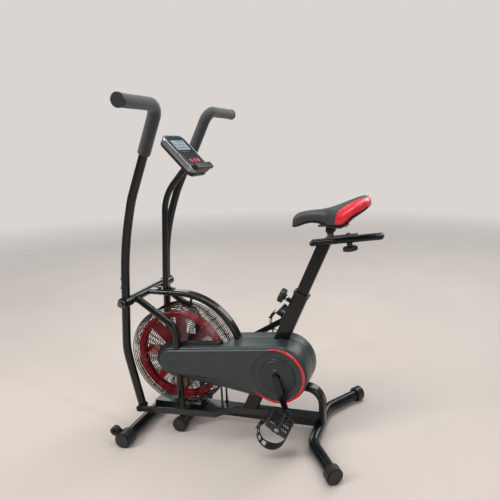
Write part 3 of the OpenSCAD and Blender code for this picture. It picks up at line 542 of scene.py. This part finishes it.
def cover_right():
    """The far shell: the other half of the drum, with a wide round edge."""
    low = COVER_FAR
    levels = [(-0.6, 1.2), (-1.4, 0.2), (-2.4, 0)]
    edge = 15
    for i in range(9):
        a = math.radians(90 * i / 8)
        levels.append((low + edge * (1 - math.sin(a)), edge * (1 - math.cos(a))))
    bm = bmesh.new()
    rings = []
    for x, inset in levels:
        points = cover_points(inset)
        rings.append([bm.verts.new((x, max(y, WALL_Y), z)) for y, z in points])
    keep = [y >= WALL_Y - 12 for y, z in cover_points(0)]
    count = len(keep)
    first = next(i for i in range(count) if keep[i] and not keep[i - 1])
    order = [(first + i) % count for i in range(count) if keep[(first + i) % count]]
    trimmed = [[ring[i] for i in order] for ring in rings]
    ring_faces(bm, trimmed)
    bmesh.ops.delete(bm, geom=[v for v in bm.verts if not v.link_faces], context="VERTS")
    bmesh.ops.remove_doubles(bm, verts=bm.verts, dist=0.01)
    return bm


def crank_dish():
    """What is cut from the near face round the crank: a shallow bowl."""
    bm = bmesh.new()
    lathe(bm, (FACE_X, CRANK.y, CRANK.z),
          [(1, 0), (1, 97), (0, 96), (-2.5, 92), (-5.2, 82), (-6, 70), (-6, 0)], 96)
    return bm


def cut(obj, bm):
    """Cuts a closed mesh in millimetres from a piece."""
    bmesh.ops.scale(bm, vec=(MM, MM, MM), verts=bm.verts)
    bmesh.ops.recalc_face_normals(bm, faces=bm.faces)
    mesh = bpy.data.meshes.new("cutter")
    bm.to_mesh(mesh)
    bm.free()
    cutter = bpy.data.objects.new("cutter", mesh)
    bpy.context.scene.collection.objects.link(cutter)
    add_modifier(obj, "BOOLEAN", operation="DIFFERENCE", solver="EXACT", object=cutter)
    settle(obj)
    bpy.data.objects.remove(cutter)
    bpy.data.meshes.remove(mesh)
    obj.data.shade_smooth()
    obj.data.set_sharp_from_angle(angle=math.radians(30))


shell = piece("cover_shell_left", cover_left(), "frame", "cover_plastic", ["cover_left"])
cut(shell, crank_dish())
piece("cover_shell_right", cover_right(), "frame", "cover_plastic", ["cover_right"])


def crescent():
    """The red band: widest behind and above the crank, thinning to nothing at both ends."""
    bm = bmesh.new()
    outer, widest, start, end, count = 104, 8.5, -147, 108, 96
    rings = []
    for i in range(count + 1):
        t = i / count
        a = math.radians(start + (end - start) * t)
        wide = 1.2 + (widest - 1.2) * min(1, 2.2 * math.sin(math.pi * t) ** 1.1)
        ring = []
        for r, x in ((outer - wide, -1.5), (outer - wide + 0.3, 0.9), (outer - wide / 2, 1.4),
                     (outer - 0.3, 0.9), (outer, -1.5)):
            ring.append(bm.verts.new((FACE_X + x, CRANK.y + r * math.cos(a), CRANK.z + r * math.sin(a))))
        rings.append(ring)
    ring_faces(bm, rings)
    return bm


piece("cover_crescent", crescent(), "frame", "red_plastic", ["cover_trim"])


def cover_back():
    """The black inner shell, which stands a little proud of the arm beside the fan."""
    bm = bmesh.new()
    rings = []
    for x, grow in ((44, 4), (45, 7.5), (47, 8.5), (64, 8.5), (66, 7.5), (67, 4)):
        rings.append([bm.verts.new((x, y - 10, z)) for y, z in cover_points(-grow) if y < WALL_Y + 6])
    count = min(len(ring) for ring in rings)
    ring_faces(bm, [ring[:count] for ring in rings])
    bmesh.ops.delete(bm, geom=[v for v in bm.verts if not v.link_faces], context="VERTS")
    return bm


piece("cover_back", cover_back(), "frame", "black_plastic")


def cover_discs():
    """Cap over the fan axle, the disc round the crank, and the cups on the far side."""
    bm = bmesh.new()
    at_crank = (FACE_X, CRANK.y, CRANK.z)
    lathe(bm, at_crank,
          [(-7, 15), (-7, 66), (-3.2, 66), (-1.8, 64.8), (-1.4, 62), (-2.2, 60.5), (-2.2, 58.8),
           (-1.2, 57.6), (-0.6, 40), (-0.8, 27), (1.6, 24.5), (2.6, 22), (2.6, 15.5), (-7, 15)], 96)
    lathe(bm, (FACE_X, FAN.y, FAN.z),
          [(-4, 0), (-4, 16.5), (0.6, 16.5), (1.8, 15.4), (2.2, 12), (2.0, 9), (3.2, 0)], 48)
    far = corners("cover_caps")[0].x
    lathe(bm, (far, FAN.y, FAN.z), [(29, 34), (6, 34), (1.8, 32), (0, 26), (0.6, 15), (0, 0)], 48)
    lathe(bm, (COVER_FAR, CRANK.y, CRANK.z),
          [(6, 48), (0.5, 47), (-0.6, 44), (-0.2, 24), (-3, 22), (-3, 15), (6, 15)], 72)
    bmesh.ops.remove_doubles(bm, verts=bm.verts, dist=0.001)
    return bm


piece("cover_discs", cover_discs(), "frame", "black_plastic", ["cover_caps"],
      moulded("disc_plastic", (0.015, 0.0205, 0.0215), 0.34, 0.0009))


# ---------- saddle ----------

def curve_at(points, t):
    """A smooth curve through (t, value) points."""
    if t <= points[0][0]:
        return points[0][1]
    for (t0, a), (t1, b) in zip(points, points[1:]):
        if t <= t1:
            s = (t - t0) / (t1 - t0)
            i = points.index((t0, a))
            before = points[max(i - 1, 0)]
            after = points[min(i + 2, len(points) - 1)]
            m0 = (b - before[1]) / (t1 - before[0]) * (t1 - t0)
            m1 = (after[1] - a) / (after[0] - t0) * (t1 - t0)
            s2, s3 = s * s, s * s * s
            start = (2 * s3 - 3 * s2 + 1) * a + (s3 - 2 * s2 + s) * m0
            return start + (3 * s2 - 2 * s3) * b + (s3 - s2) * m1
    return points[-1][1]


SADDLE_LOW, SADDLE_HIGH = corners("saddle_pad")
NOSE = SADDLE_LOW.y + 1
# Along the saddle in millimetres from the nose: half width, ridge height and skirt height
SADDLE_WIDE = [(0, 7), (3, 13), (9, 18), (25, 21), (60, 22), (95, 25), (120, 33), (143, 50), (165, 68),
               (190, 82), (215, 89), (236, 89), (252, 81), (263, 66), (269, 48), (271, 30)]
SADDLE_RIDGE = [(0, 806), (2, 818), (8, 830), (20, 840), (46, 847), (75, 850), (100, 853), (125, 859),
                (152, 867), (180, 878), (203, 887), (230, 897), (253, 903), (264, 901), (269, 893),
                (271, 884)]
SADDLE_SKIRT = [(0, 797), (6, 794), (21, 795), (45, 805), (66, 811), (95, 811), (115, 806), (135, 801),
                (160, 802), (190, 806), (205, 818), (217, 831), (240, 849), (258, 861), (271, 872)]
Z_SHIFT = SADDLE_HIGH.z - 906


def saddle_ring(s, around, squeeze=1.0, top=1.0, drop=0.0):
    """Points round the saddle s millimetres behind the nose, starting at the left edge."""
    wide = curve_at(SADDLE_WIDE, s) * squeeze
    ridge = curve_at(SADDLE_RIDGE, s) + Z_SHIFT
    skirt = curve_at(SADDLE_SKIRT, s) + Z_SHIFT - drop
    edge = skirt + (ridge - skirt) * (0.52 if s < 120 else 0.42)
    dip = 4.5 * min(1, max(0, (s - 95) / 80)) * (1 if s < 225 else max(0, (265 - s) / 40))
    ring = []
    for i in range(around):
        a = math.tau * i / around
        c, n = math.cos(a), math.sin(a)
        x = wide * math.copysign(abs(c) ** 0.82, c)
        if n >= 0:
            z = edge + (ridge - edge) * top * n ** 0.85 - dip * math.exp(-(x / 13) ** 2) * n
        else:
            z = edge - (edge - skirt) * abs(n) ** 0.42
            x *= 1 - 0.07 * abs(n) ** 0.5
        ring.append(Vector((x, NOSE + s, z)))
    return ring


def red_mark(p):
    """Above 0.5 where the skin is red: the nose tip, and the rear flanks up to a sloping seam."""
    s = p.y - NOSE
    wide = max(curve_at(SADDLE_WIDE, s), 1)
    nose = 0.5 + (4.5 - s) / 8
    seam_in = 0.9 - 0.42 * min(1, max(0, (s - 158) / 85))
    flank = (abs(p.x) / wide - seam_in) * 2.6
    front = (s - 158 - max(0, p.z - 805 - Z_SHIFT) * 0.28) / 10
    tail = (s - 259) / 8
    return max(nose, 0.5 + min(flank, front), 0.5 + tail)


def saddle_pad():
    """The padded skin, a little smaller than its final size because the simulation swells it."""
    bm = bmesh.new()
    stations = [0, 1.5, 4, 8, 14, 22, 32, 44, 58, 72, 86, 98, 109, 119, 129, 139, 149, 159, 169, 179,
                189, 199, 209, 219, 229, 238, 246, 253, 259, 264, 268, 270.5]
    rings = [[bm.verts.new(p) for p in saddle_ring(s, 56, 0.985, 0.985)] for s in stations]
    ring_faces(bm, rings)
    return bm


def cushion(obj, pressure, frames, cap):
    """Puffs the piece up with a short cloth simulation, moving no point further than cap metres."""
    rest = [v.co.copy() for v in obj.data.vertices]
    cloth = add_modifier(obj, "CLOTH")
    cloth.settings.use_pressure = True
    cloth.settings.uniform_pressure_force = pressure
    cloth.settings.effector_weights.gravity = 0
    cloth.settings.quality = 6
    cloth.point_cache.frame_start = 1
    cloth.point_cache.frame_end = frames
    for f in range(1, frames + 1):
        bpy.context.scene.frame_set(f)
    settle(obj)
    bpy.context.scene.frame_set(1)
    for v, start in zip(obj.data.vertices, rest):
        move = v.co - start
        if move.length > cap:
            v.co = start + move.normalized() * cap


pad = piece("saddle_pad_skin", saddle_pad(), "saddle", "saddle_cover",
            ["saddle_pad", "saddle_base"], smooth=80)
cushion(pad, 3.0, 14, 0.0022)
add_modifier(pad, "SUBSURF", levels=2, render_levels=2)
settle(pad)
mark = pad.data.attributes.new("red_panel", "FLOAT", "POINT")
values = [red_mark(v.co / MM) for v in pad.data.vertices]
mark.data.foreach_set("value", values)
outward = [v.normal.copy() for v in pad.data.vertices]
for v, value, normal in zip(pad.data.vertices, values, outward):
    v.co -= normal * math.exp(-((value - 0.5) * 14) ** 2) * 0.0009
pad.data.shade_smooth()


def saddle_tray():
    """The black plastic shell whose lip shows under the skin."""
    bm = bmesh.new()
    stations = [2, 6, 14, 30, 50, 72, 95, 112, 126, 140, 155, 170, 185, 200, 215, 230, 243, 254, 262, 268]
    rings = []
    for s in stations:
        wide = curve_at(SADDLE_WIDE, s) * 0.93
        skirt = curve_at(SADDLE_SKIRT, s) + Z_SHIFT
        ring = []
        for i in range(32):
            a = math.tau * i / 32
            x = wide * math.cos(a)
            z = skirt + (5 if math.sin(a) > 0 else -2.2) * abs(math.sin(a)) ** 0.4
            ring.append(bm.verts.new((x, NOSE + s, z)))
        rings.append(ring)
    ring_faces(bm, rings)
    return bm


piece("saddle_tray", saddle_tray(), "saddle", "black_plastic")


# ---------- foam grips ----------

def foam_grip(side):
    """Takes the plain grip, rounds its ends as foam does, and lets its surface wander a little."""
    source = frame["nodes"]["grip_" + side]
    mesh = source.data.copy()
    obj = bpy.data.objects.new("foam_grip_" + side, mesh)
    bpy.context.scene.collection.objects.link(obj)
    mesh.materials.clear()
    mesh.materials.append(LOOKS["foam"])
    add_modifier(obj, "REMESH", mode="VOXEL", voxel_size=0.0026)
    add_modifier(obj, "SMOOTH", factor=0.5, iterations=6)
    settle(obj)
    outward = [v.normal.copy() for v in obj.data.vertices]
    for v, normal in zip(obj.data.vertices, outward):
        v.co += normal * (noise.noise(v.co * 45) * 0.0004 + 0.0001)
    obj.data.shade_smooth()
    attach(obj, "handle_" + side)
    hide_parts("grip_" + side)


foam_grip("left")
foam_grip("right")


# ---------- fan cage ----------

WIRE = 1.4
EDGE_WIRE = 1.9
STAY_WIRE = 1.15
FIRST_RING = 68
RING_PITCH = 7.6
RIM_HOOPS = 9
STAYS = 30
DRUM_DEPTH = 13
PLATE_DEPTH = 4


def cage_face(side):
    """Close wire rings on one face, and in its middle a drum on the near side or a plate on the far one."""
    bm = bmesh.new()
    x = side * (CAGE_X - WIRE)
    radius = FIRST_RING
    while radius < CAGE_R - 5:
        hoop(bm, (x, FAN.y, FAN.z), (1, 0, 0), radius, WIRE, 96, 5)
        radius += RING_PITCH
    back = -1.2 * side
    reach = DRUM_DEPTH if side > 0 else -PLATE_DEPTH
    lathe(bm, (x, FAN.y, FAN.z),
          [(back, 26), (back, 62), (side, 63.2), (reach - side, 62), (reach, 60), (reach, 26),
           (back, 26)], 84)
    return bm


def cage_rim():
    """Hoops round the rim, and wavy stays that run from one middle plate over the rim to the other."""
    bm = bmesh.new()
    for i in range(RIM_HOOPS):
        x = (CAGE_X - 2) * (2 * i / (RIM_HOOPS - 1) - 1)
        thick = EDGE_WIRE if i in (0, RIM_HOOPS - 1) else WIRE
        hoop(bm, (x, FAN.y, FAN.z), (1, 0, 0), CAGE_R - 2.2, thick, 120, 5)
    inner = CAGE_X - 3.2
    path = [(inner, 52 + (CAGE_R - 60) * i / 12) for i in range(13)]
    path += [(inner - 4, CAGE_R - 5), (inner - 14, CAGE_R - 4), (0, CAGE_R - 4)]
    path += [(-x, r) for x, r in reversed(path[:-1])]
    for k in range(STAYS):
        line = []
        for i, (x, r) in enumerate(path):
            a = math.tau * k / STAYS + 0.014 * math.sin(i * 1.9)
            line.append(Vector((x, FAN.y + r * math.cos(a), FAN.z + r * math.sin(a))))
        sweep(bm, line, circle(STAY_WIRE, 5), Vector((0, -math.sin(a), math.cos(a))))
    return bm


for side, word in ((1, "left"), (-1, "right")):
    piece("cage_wires_" + word, cage_face(side), "frame", "wire_black", ["cage_" + word])
piece("cage_rim_wires", cage_rim(), "frame", "wire_black", ["cage_rim"])


# ---------- console ----------

def console_place():
    """Leads from the console's own axes, X across, Y down its face and Z out of it, to the frame's."""
    out = -joint_axis("button_mode_press")
    down = out.cross(Vector((1, 0, 0)))
    origin = middle("button_mode") - down * 36 - out * 2
    return lambda x, y, z: origin + Vector((x, 0, 0)) + down * y + out * z


def outline_of(w, h, r, dx=0.0, dy=0.0):
    """A round-cornered outline whose middle is moved by dx and dy, as a function of its inset."""
    def outline(inset):
        return [(x + dx, y + dy) for x, y in round_rect(w - 2 * inset, h - 2 * inset, max(r - inset, 1))]
    return outline


def console():
    """The monitor: case, back with its bracket, window, display with plain segments, and three buttons."""
    at = console_place()
    case = bmesh.new()
    slab(case, outline_of(132, 166, 26),
         [(-17, 7), (-16.4, 5.4), (-14, 4), (-6, 1.4), (-3, 0.4), (0.4, 0), (2.6, 0.5), (3.8, 1.8),
          (4, 3.2), (3.6, 4.6), (2.4, 5)], at)
    piece("console_body", case, "frame", "silver_plastic", ["console_case"])
    back = bmesh.new()
    slab(back, outline_of(116, 163, 22, 0, 2.5),
         [(-30, 8), (-29.6, 5), (-28, 2.2), (-25, 0.8), (-21, 0), (-18.6, 0.2), (-18, 1.4), (-18, 3.5),
          (-15, 3.5)], at)
    block(back, (-46, 62, -12), (46, 83, 20), at, 4, 3)
    block(back, (-57, 59, 6), (57, 84.5, 21.6), at, 5, 4)
    block(back, (-52, 60, 2), (52, 81, 8), at, 1)
    piece("console_back", back, "frame", "black_plastic")
    glass = bmesh.new()
    slab(glass, outline_of(114, 136, 17, 0, -9), [(1, 0), (4.2, 0), (4.9, 0.5), (5.1, 1.4), (5.1, 6)], at)
    piece("console_glass", glass, "frame", "screen_glass", material=dark_glass("console_glass"))
    lcd = bmesh.new()
    slab(lcd, outline_of(84, 44, 3, 4, -34), [(4.6, 0), (5.5, 0), (5.8, 0.4), (5.8, 1)], at)
    piece("console_lcd", lcd, "frame", "screen_glass", ["console_screen"])
    marks = bmesh.new()
    for row in range(3):
        for k in range(3 + row % 2):
            x = -28 + 17 * k + 5 * row
            block(marks, (x, -50 + 13 * row, 5.7), (x + 11, -47.4 + 13 * row, 6.0), at, 0.1, 1)
    piece("console_segments", marks, "frame", "black_plastic")
    legend = bmesh.new()
    for k in range(5):
        block(legend, (-20 + 13 * k, -6.5, 5.0), (-13 + 13 * k, -3.6, 5.35), at, 0.15, 1)
    piece("console_legend", legend, "frame", "silver_plastic")
    for k, word in enumerate(("reset", "mode", "set")):
        cap = bmesh.new()
        x = 25 * (k - 1)
        turned(cap, at(x, 36, -2), at(0, 0, 1) - at(0, 0, 0),
               [(0, 8.2), (6.6, 8.4), (7.5, 8.0), (8.0, 7.0), (7.7, 4.5), (7.4, 1)], 40)
        piece("button_cap_" + word, cap, "button_" + word, "red_plastic", ["button_" + word])


console()


# ---------- pedals ----------

HANG = math.radians(-32)
# Along a strap, from 0 at its rear end to 1 at its front: its place back and up in the pedal's axes, half
# its width, and where the ladder's holes begin and end
STRAP_LINE = [(0.0, 40, -9), (0.1, 45, -30), (0.22, 45, -58), (0.34, 34, -84), (0.46, 12, -99),
              (0.58, -14, -101), (0.7, -37, -89), (0.82, -51, -66), (0.92, -52, -42), (1.0, -42, -10)]
STRAP_HALF = [(0.0, 15), (0.3, 17.5), (0.45, 17.5), (0.6, 14.5), (1.0, 13)]
STRAP_HOLES = [(0.52, 0.6), (0.635, 0.715), (0.75, 0.83), (0.865, 0.93)]


def pedal_place(side):
    """Leads from a pedal's own axes, X outwards along its axle and Z out of its top, to the frame's."""
    pin = PIN[side]
    c, s = math.cos(HANG), math.sin(HANG)
    return lambda x, y, z: Vector((side * x, pin.y + y * c - z * s, pin.z + y * s + z * c))


def reach_of(node, side):
    """A CAD node's inner and outer end, in millimetres out from the middle of the bike."""
    low, high = corners(node)
    return (low.x, high.x) if side > 0 else (-high.x, -low.x)


def pedal(side, word):
    """A moulded pedal: a grooved barrel, ribs along it, two toothed rails, deep end plates, reflectors."""
    at = pedal_place(side)
    inner, outer = reach_of("pedal_" + word, side)
    along = at(1, 0, 0) - at(0, 0, 0)
    bm = bmesh.new()
    barrel = [(inner + 0.2, 7.5), (inner + 0.6, 10.4), (inner + 3, 11.6)]
    for k in range(5):
        x = inner + 12 + 12 * k
        barrel += [(x - 3.2, 11.6), (x - 2.4, 10.5), (x + 2.4, 10.5), (x + 3.2, 11.6)]
    barrel += [(outer - 9, 11.6), (outer - 4, 10), (outer - 3.4, 7)]
    turned(bm, at(0, 0, 0), along, barrel, 40)
    for y in (-1, 1):
        mid = 38 * y
        block(bm, (inner + 1, mid - 4.4, -8.5), (outer - 3, mid + 4.4, 8.5), at, 2.2, 3)
        for k in range(9):
            x = inner + 4.6 + 8.3 * k
            for low, high in ((-12.6, -5), (5, 12.6)):
                block(bm, (x, mid - 3.5, low), (x + 4.6, mid + 3.5, high), at, 1.2, 2)
        for rib in (17, 26):
            block(bm, (inner + 4, rib * y - 1.7, -7.6), (outer - 6, rib * y + 1.7, 7.6), at, 1, 2)
        for x in (inner + 22, inner + 46):
            block(bm, (x, min(9 * y, 36 * y), -4.6), (x + 3.6, max(9 * y, 36 * y), 4.6), at, 0.9, 2)
    for x, deep in ((inner + 0.4, 5.2), (outer - 8.2, 6.2)):
        block(bm, (x, -37.5, -10), (x + deep, -10.5, 10), at, 2.2, 3)
        block(bm, (x, 10.5, -10), (x + deep, 37.5, 10), at, 2.2, 3)
        block(bm, (x, -15, 6), (x + deep, 15, 12.9), at, 2.4, 3)
        block(bm, (x, -15, -12.9), (x + deep, 15, -6), at, 2.4, 3)
    piece("pedal_cage_" + word, bm, "pedal_" + word, "black_plastic", ["pedal_" + word])
    shine = bmesh.new()
    for y in (-1, 1):
        near, far = sorted((41.8 * y, 43 * y))
        block(shine, (inner + 20, near, -2.8), (outer - 22, far, 2.8), at, 0.4, 2)
    turned(shine, at(0, 0, 0), along,
           [(outer - 6.4, 8.4), (outer - 5, 8.8), (outer - 3.2, 8), (outer - 2.6, 5.5)], 32)
    piece("pedal_reflectors_" + word, shine, "pedal_" + word, "silver_plastic")


def strap(side, word):
    """A rubber strap that hangs in a loop: wide and plain behind, a ladder of holes in front, and its
    tail through a wire buckle."""
    at = pedal_place(side)
    inner, outer = reach_of("pedal_strap_" + word, side)
    mid = (inner + outer) / 2
    steps = 96
    ys = [(t, y) for t, y, z in STRAP_LINE]
    zs = [(t, z) for t, y, z in STRAP_LINE]
    lanes, cells = [], []
    for i in range(steps + 1):
        t = i / steps
        y, z = curve_at(ys, t), curve_at(zs, t)
        y1, z1 = curve_at(ys, t + 0.004), curve_at(zs, t + 0.004)
        y0, z0 = curve_at(ys, t - 0.004), curve_at(zs, t - 0.004)
        out = Vector((z1 - z0, y0 - y1)).normalized() * 1.3
        half = curve_at(STRAP_HALF, t)
        across = (mid - half, mid - half + 5, mid + half - 5, mid + half)
        lanes.append([((x, y + out.x, z + out.y), (x, y - out.x, z - out.y)) for x in across])
        cells.append(any(a <= t <= b for a, b in STRAP_HOLES))
    bm = bmesh.new()
    grid = [[(bm.verts.new(at(*a)), bm.verts.new(at(*b))) for a, b in row] for row in lanes]
    solid = {(i, k) for i in range(steps) for k in range(3) if not (k == 1 and cells[i] and cells[i + 1])}
    for i, k in solid:
        a, b, c, d = grid[i][k], grid[i][k + 1], grid[i + 1][k + 1], grid[i + 1][k]
        bm.faces.new((a[0], b[0], c[0], d[0]))
        bm.faces.new((a[1], d[1], c[1], b[1]))
        sides = (((a, b), (i - 1, k)), ((c, d), (i + 1, k)), ((b, c), (i, k + 1)), ((d, a), (i, k - 1)))
        for (p, q), near in sides:
            if near not in solid:
                bm.faces.new((p[0], p[1], q[1], q[0]))
    band = piece("strap_" + word, bm, "pedal_" + word, "strap_rubber", ["pedal_strap_" + word])
    add_modifier(band, "BEVEL", width=0.0005, segments=2, limit_method="ANGLE")
    settle(band)
    y, z = curve_at(ys, 0.9) - 2.6, curve_at(zs, 0.9)
    tail = bmesh.new()
    block(tail, (mid - 12.5, y - 3.8, z - 12), (mid + 12.5, y - 1, z + 24), at, 1.1, 2)
    for x in (mid - 15.5, mid + 12.5):
        block(tail, (x, y - 4.6, z - 9), (x + 3, y + 5, z + 9), at, 1.1, 2)
    piece("strap_keeper_" + word, tail, "pedal_" + word, "strap_rubber")
    buckle = bmesh.new()
    for dz in (-8, 8):
        turned(buckle, at(0, y - 4.6, z + dz), at(1, 0, 0) - at(0, 0, 0),
               [(mid - 18, 1.6), (mid - 17.4, 2.6), (mid - 15, 2.2), (mid + 15, 2.2),
                (mid + 17.4, 2.6), (mid + 18, 1.6)], 20)
    piece("strap_buckle_" + word, buckle, "pedal_" + word, "plain_steel")


for side, word in ((1, "left"), (-1, "right")):
    pedal(side, word)
    strap(side, word)


# ---------- knobs, welds and small hardware ----------

def seat_pin():
    """The pull knob: fluted grip, a chrome stem, and its dark collar."""
    out = joint_axis("seat_pin_pull")
    tail, tip = reach_along("seat_pin", out)
    centre = middle("seat_pin")
    base = centre - out * (centre.dot(out) - tail)
    foot = Vector((0, base.y, base.z))
    length = tip - tail
    grip = bmesh.new()
    turned(grip, foot, out,
           [(length - 20, 12), (length - 19.6, 22), (length - 18.4, 25.6), (length - 17, 26.8),
            (length - 4, 26.8), (length - 1.6, 25.8), (length - 0.3, 23), (length, 19), (length - 1.2, 16),
            (length - 1.6, 2)], 108, 9, 3.2)
    turned(grip, foot, out, [(length - 26, 11), (length - 25, 12), (length - 19, 12), (length - 18, 11)], 48)
    piece("pin_knob", grip, "seat_pin", "black_plastic", ["seat_pin"])
    stem = bmesh.new()
    turned(stem, foot, out, [(0, 3.2), (1, 3.9), (length - 22, 3.9), (length - 19, 3.9)], 32)
    piece("pin_stem", stem, "seat_pin", "chrome_steel")


seat_pin()


def clamp_knob():
    """The saddle's clamp knob: eight lobes, with a dished underside and a short neck."""
    down = -joint_axis("slider_knob_turn")
    near, far = reach_along("slider_knob", down)
    pos = joint_place("slider_knob_turn")
    foot = pos + down * (near - pos.dot(down))
    h = far - near
    bm = bmesh.new()
    turned(bm, foot, down,
           [(0, 6), (0.6, 9.2), (3, 9.8), (h - 17, 9.8), (h - 16, 13), (h - 15.4, 22), (h - 14, 25.2),
            (h - 4, 26.4), (h - 1.6, 25.6), (h - 0.2, 22.5), (h, 18), (h - 1.4, 15), (h - 1.8, 2)],
           112, 8, 3.6)
    piece("clamp_knob", bm, "slider_knob", "black_plastic", ["slider_knob"])


clamp_knob()


def saddle_clip():
    """The serrated clamp under the saddle: two toothed cheeks on their bolt, with a nut at each end."""
    pos = joint_place("saddle_tilt")
    bm = bmesh.new()
    for side in (-1, 1):
        turned(bm, pos, (side, 0, 0),
               [(9, 8), (9.4, 14.4), (12, 15.2), (17, 15.2), (19.6, 14.2), (20.4, 11), (20.8, 7)],
               96, 24, 0.9)
        turned(bm, pos, (side, 0, 0), [(20, 7.6), (25.4, 7.6), (26.4, 6.4), (26.6, 2)], 6)
    piece("saddle_clip", bm, "saddle", "frame_black", smooth=28)


saddle_clip()


def welds():
    """Beads where the tubes of the frame meet."""
    bm = bmesh.new()
    pivot_low, pivot_high = corners("pivot_tube")
    pivot = (pivot_low + pivot_high) / 2
    cross = middle("fan_cross_tube")
    for stay in ("stay_right", "stay_left"):
        stay_low, stay_high = corners(stay)
        x = (stay_low.x + stay_high.x) / 2
        hoop(bm, (x, cross.y, cross.z + 20), (0, 0, 1), 12.6, 1.6, 60, 6, 0.25)
        hoop(bm, (x, pivot.y + 12, pivot.z - 9), (0, 0.82, -0.57), 12.4, 1.5, 60, 6, 0.25)
    piece("weld_beads", bm, "frame", "frame_black")


welds()


# ---------- looks of the CAD nodes that stay ----------

for entry in frame["record"]["subparts"]:
    obj = frame["nodes"][entry["node"]]
    obj.data.materials.clear()
    obj.data.materials.append(LOOKS[entry["material_slot"]])


# ---------- studio ----------

def studio():
    """A large square floor, in metres."""
    bm = bmesh.new()
    size = 6
    places = ((-size, -size), (size, -size), (size, size), (-size, size))
    bm.faces.new([bm.verts.new((x, y, 0)) for x, y in places])
    mesh = bpy.data.meshes.new("floor")
    bm.to_mesh(mesh)
    bm.free()
    floor = bpy.data.objects.new("floor", mesh)
    bpy.context.scene.collection.objects.link(floor)
    mesh.materials.append(floor_paint())


studio()


def area_light(name, place, target, size, power, colour=(1, 1, 1)):
    """A rectangular lamp that faces a target, placed in metres."""
    data = bpy.data.lights.new(name, "AREA")
    data.shape = "RECTANGLE"
    data.size, data.size_y = size
    data.energy = power
    data.color = colour
    lamp = bpy.data.objects.new(name, data)
    bpy.context.scene.collection.objects.link(lamp)
    lamp.location = place
    lamp.rotation_euler = (Vector(target) - Vector(place)).to_track_quat("-Z", "Y").to_euler()


area_light("key", (1.9, -2.4, 2.9), (0, -0.1, 0.5), (1.2, 2.4), 66, (1, 0.985, 0.96))
area_light("fill", (3.0, 2.2, 1.6), (0, 0, 0.6), (1.2, 2.6), 18, (0.95, 0.98, 1))
area_light("top", (-0.2, 0.1, 3.2), (0, 0, 0.4), (1.6, 3.4), 62)
area_light("rear", (-2.6, 1.2, 2.4), (0, 0, 0.6), (1.2, 2.4), 34)
area_light("far_side", (-2.4, -2.0, 1.8), (0, 0, 0.5), (1.2, 2.0), 16)
area_light("strip_front", (1.3, -1.9, 2.5), (0, -0.1, 0.6), (0.1, 2.6), 16)
area_light("strip_back", (0.9, 2.1, 2.3), (0, 0, 0.6), (0.1, 2.6), 16)


def studio_world():
    """A dim room for the light, which shows as an even pale wall behind the bike."""
    world = bpy.data.worlds.new("studio")
    world.use_nodes = True
    tree = world.node_tree
    room = tree.nodes["Background"]
    room.inputs["Color"].default_value = (0.95, 0.97, 1, 1)
    room.inputs["Strength"].default_value = 0.2
    wall = tree.nodes.new("ShaderNodeBackground")
    wall.inputs["Color"].default_value = (0.7, 0.665, 0.64, 1)
    seen = tree.nodes.new("ShaderNodeLightPath")
    mix = tree.nodes.new("ShaderNodeMixShader")
    tree.links.new(seen.outputs["Is Camera Ray"], mix.inputs[0])
    tree.links.new(room.outputs[0], mix.inputs[1])
    tree.links.new(wall.outputs[0], mix.inputs[2])
    tree.links.new(mix.outputs[0], tree.nodes["World Output"].inputs["Surface"])
    bpy.context.scene.world = world


studio_world()
bpy.context.scene.view_settings.view_transform = "Standard"


def photo_camera():
    """Looks from ahead of the bike's left side, a little above the pivot's height."""
    place = Vector((1.47566, 0.62126, 1.07375))
    turn, dip, roll = math.radians(11.91), math.radians(12.71), math.radians(-0.21)
    ahead = Vector((-math.cos(turn) * math.cos(dip), -math.sin(turn) * math.cos(dip), -math.sin(dip)))
    right = ahead.cross(Vector((0, 0, 1))).normalized()
    up = right.cross(ahead)
    right, up = right * math.cos(roll) + up * math.sin(roll), up * math.cos(roll) - right * math.sin(roll)
    data = bpy.data.cameras.new("camera")
    data.sensor_width = 36
    data.lens = 32.4
    data.shift_x = -0.169
    data.shift_y = -0.011
    camera = bpy.data.objects.new("camera", data)
    bpy.context.scene.collection.objects.link(camera)
    basis = Matrix((right, up, -ahead)).transposed()
    camera.matrix_world = Matrix.Translation(place) @ basis.to_4x4()
    bpy.context.scene.camera = camera


photo_camera()
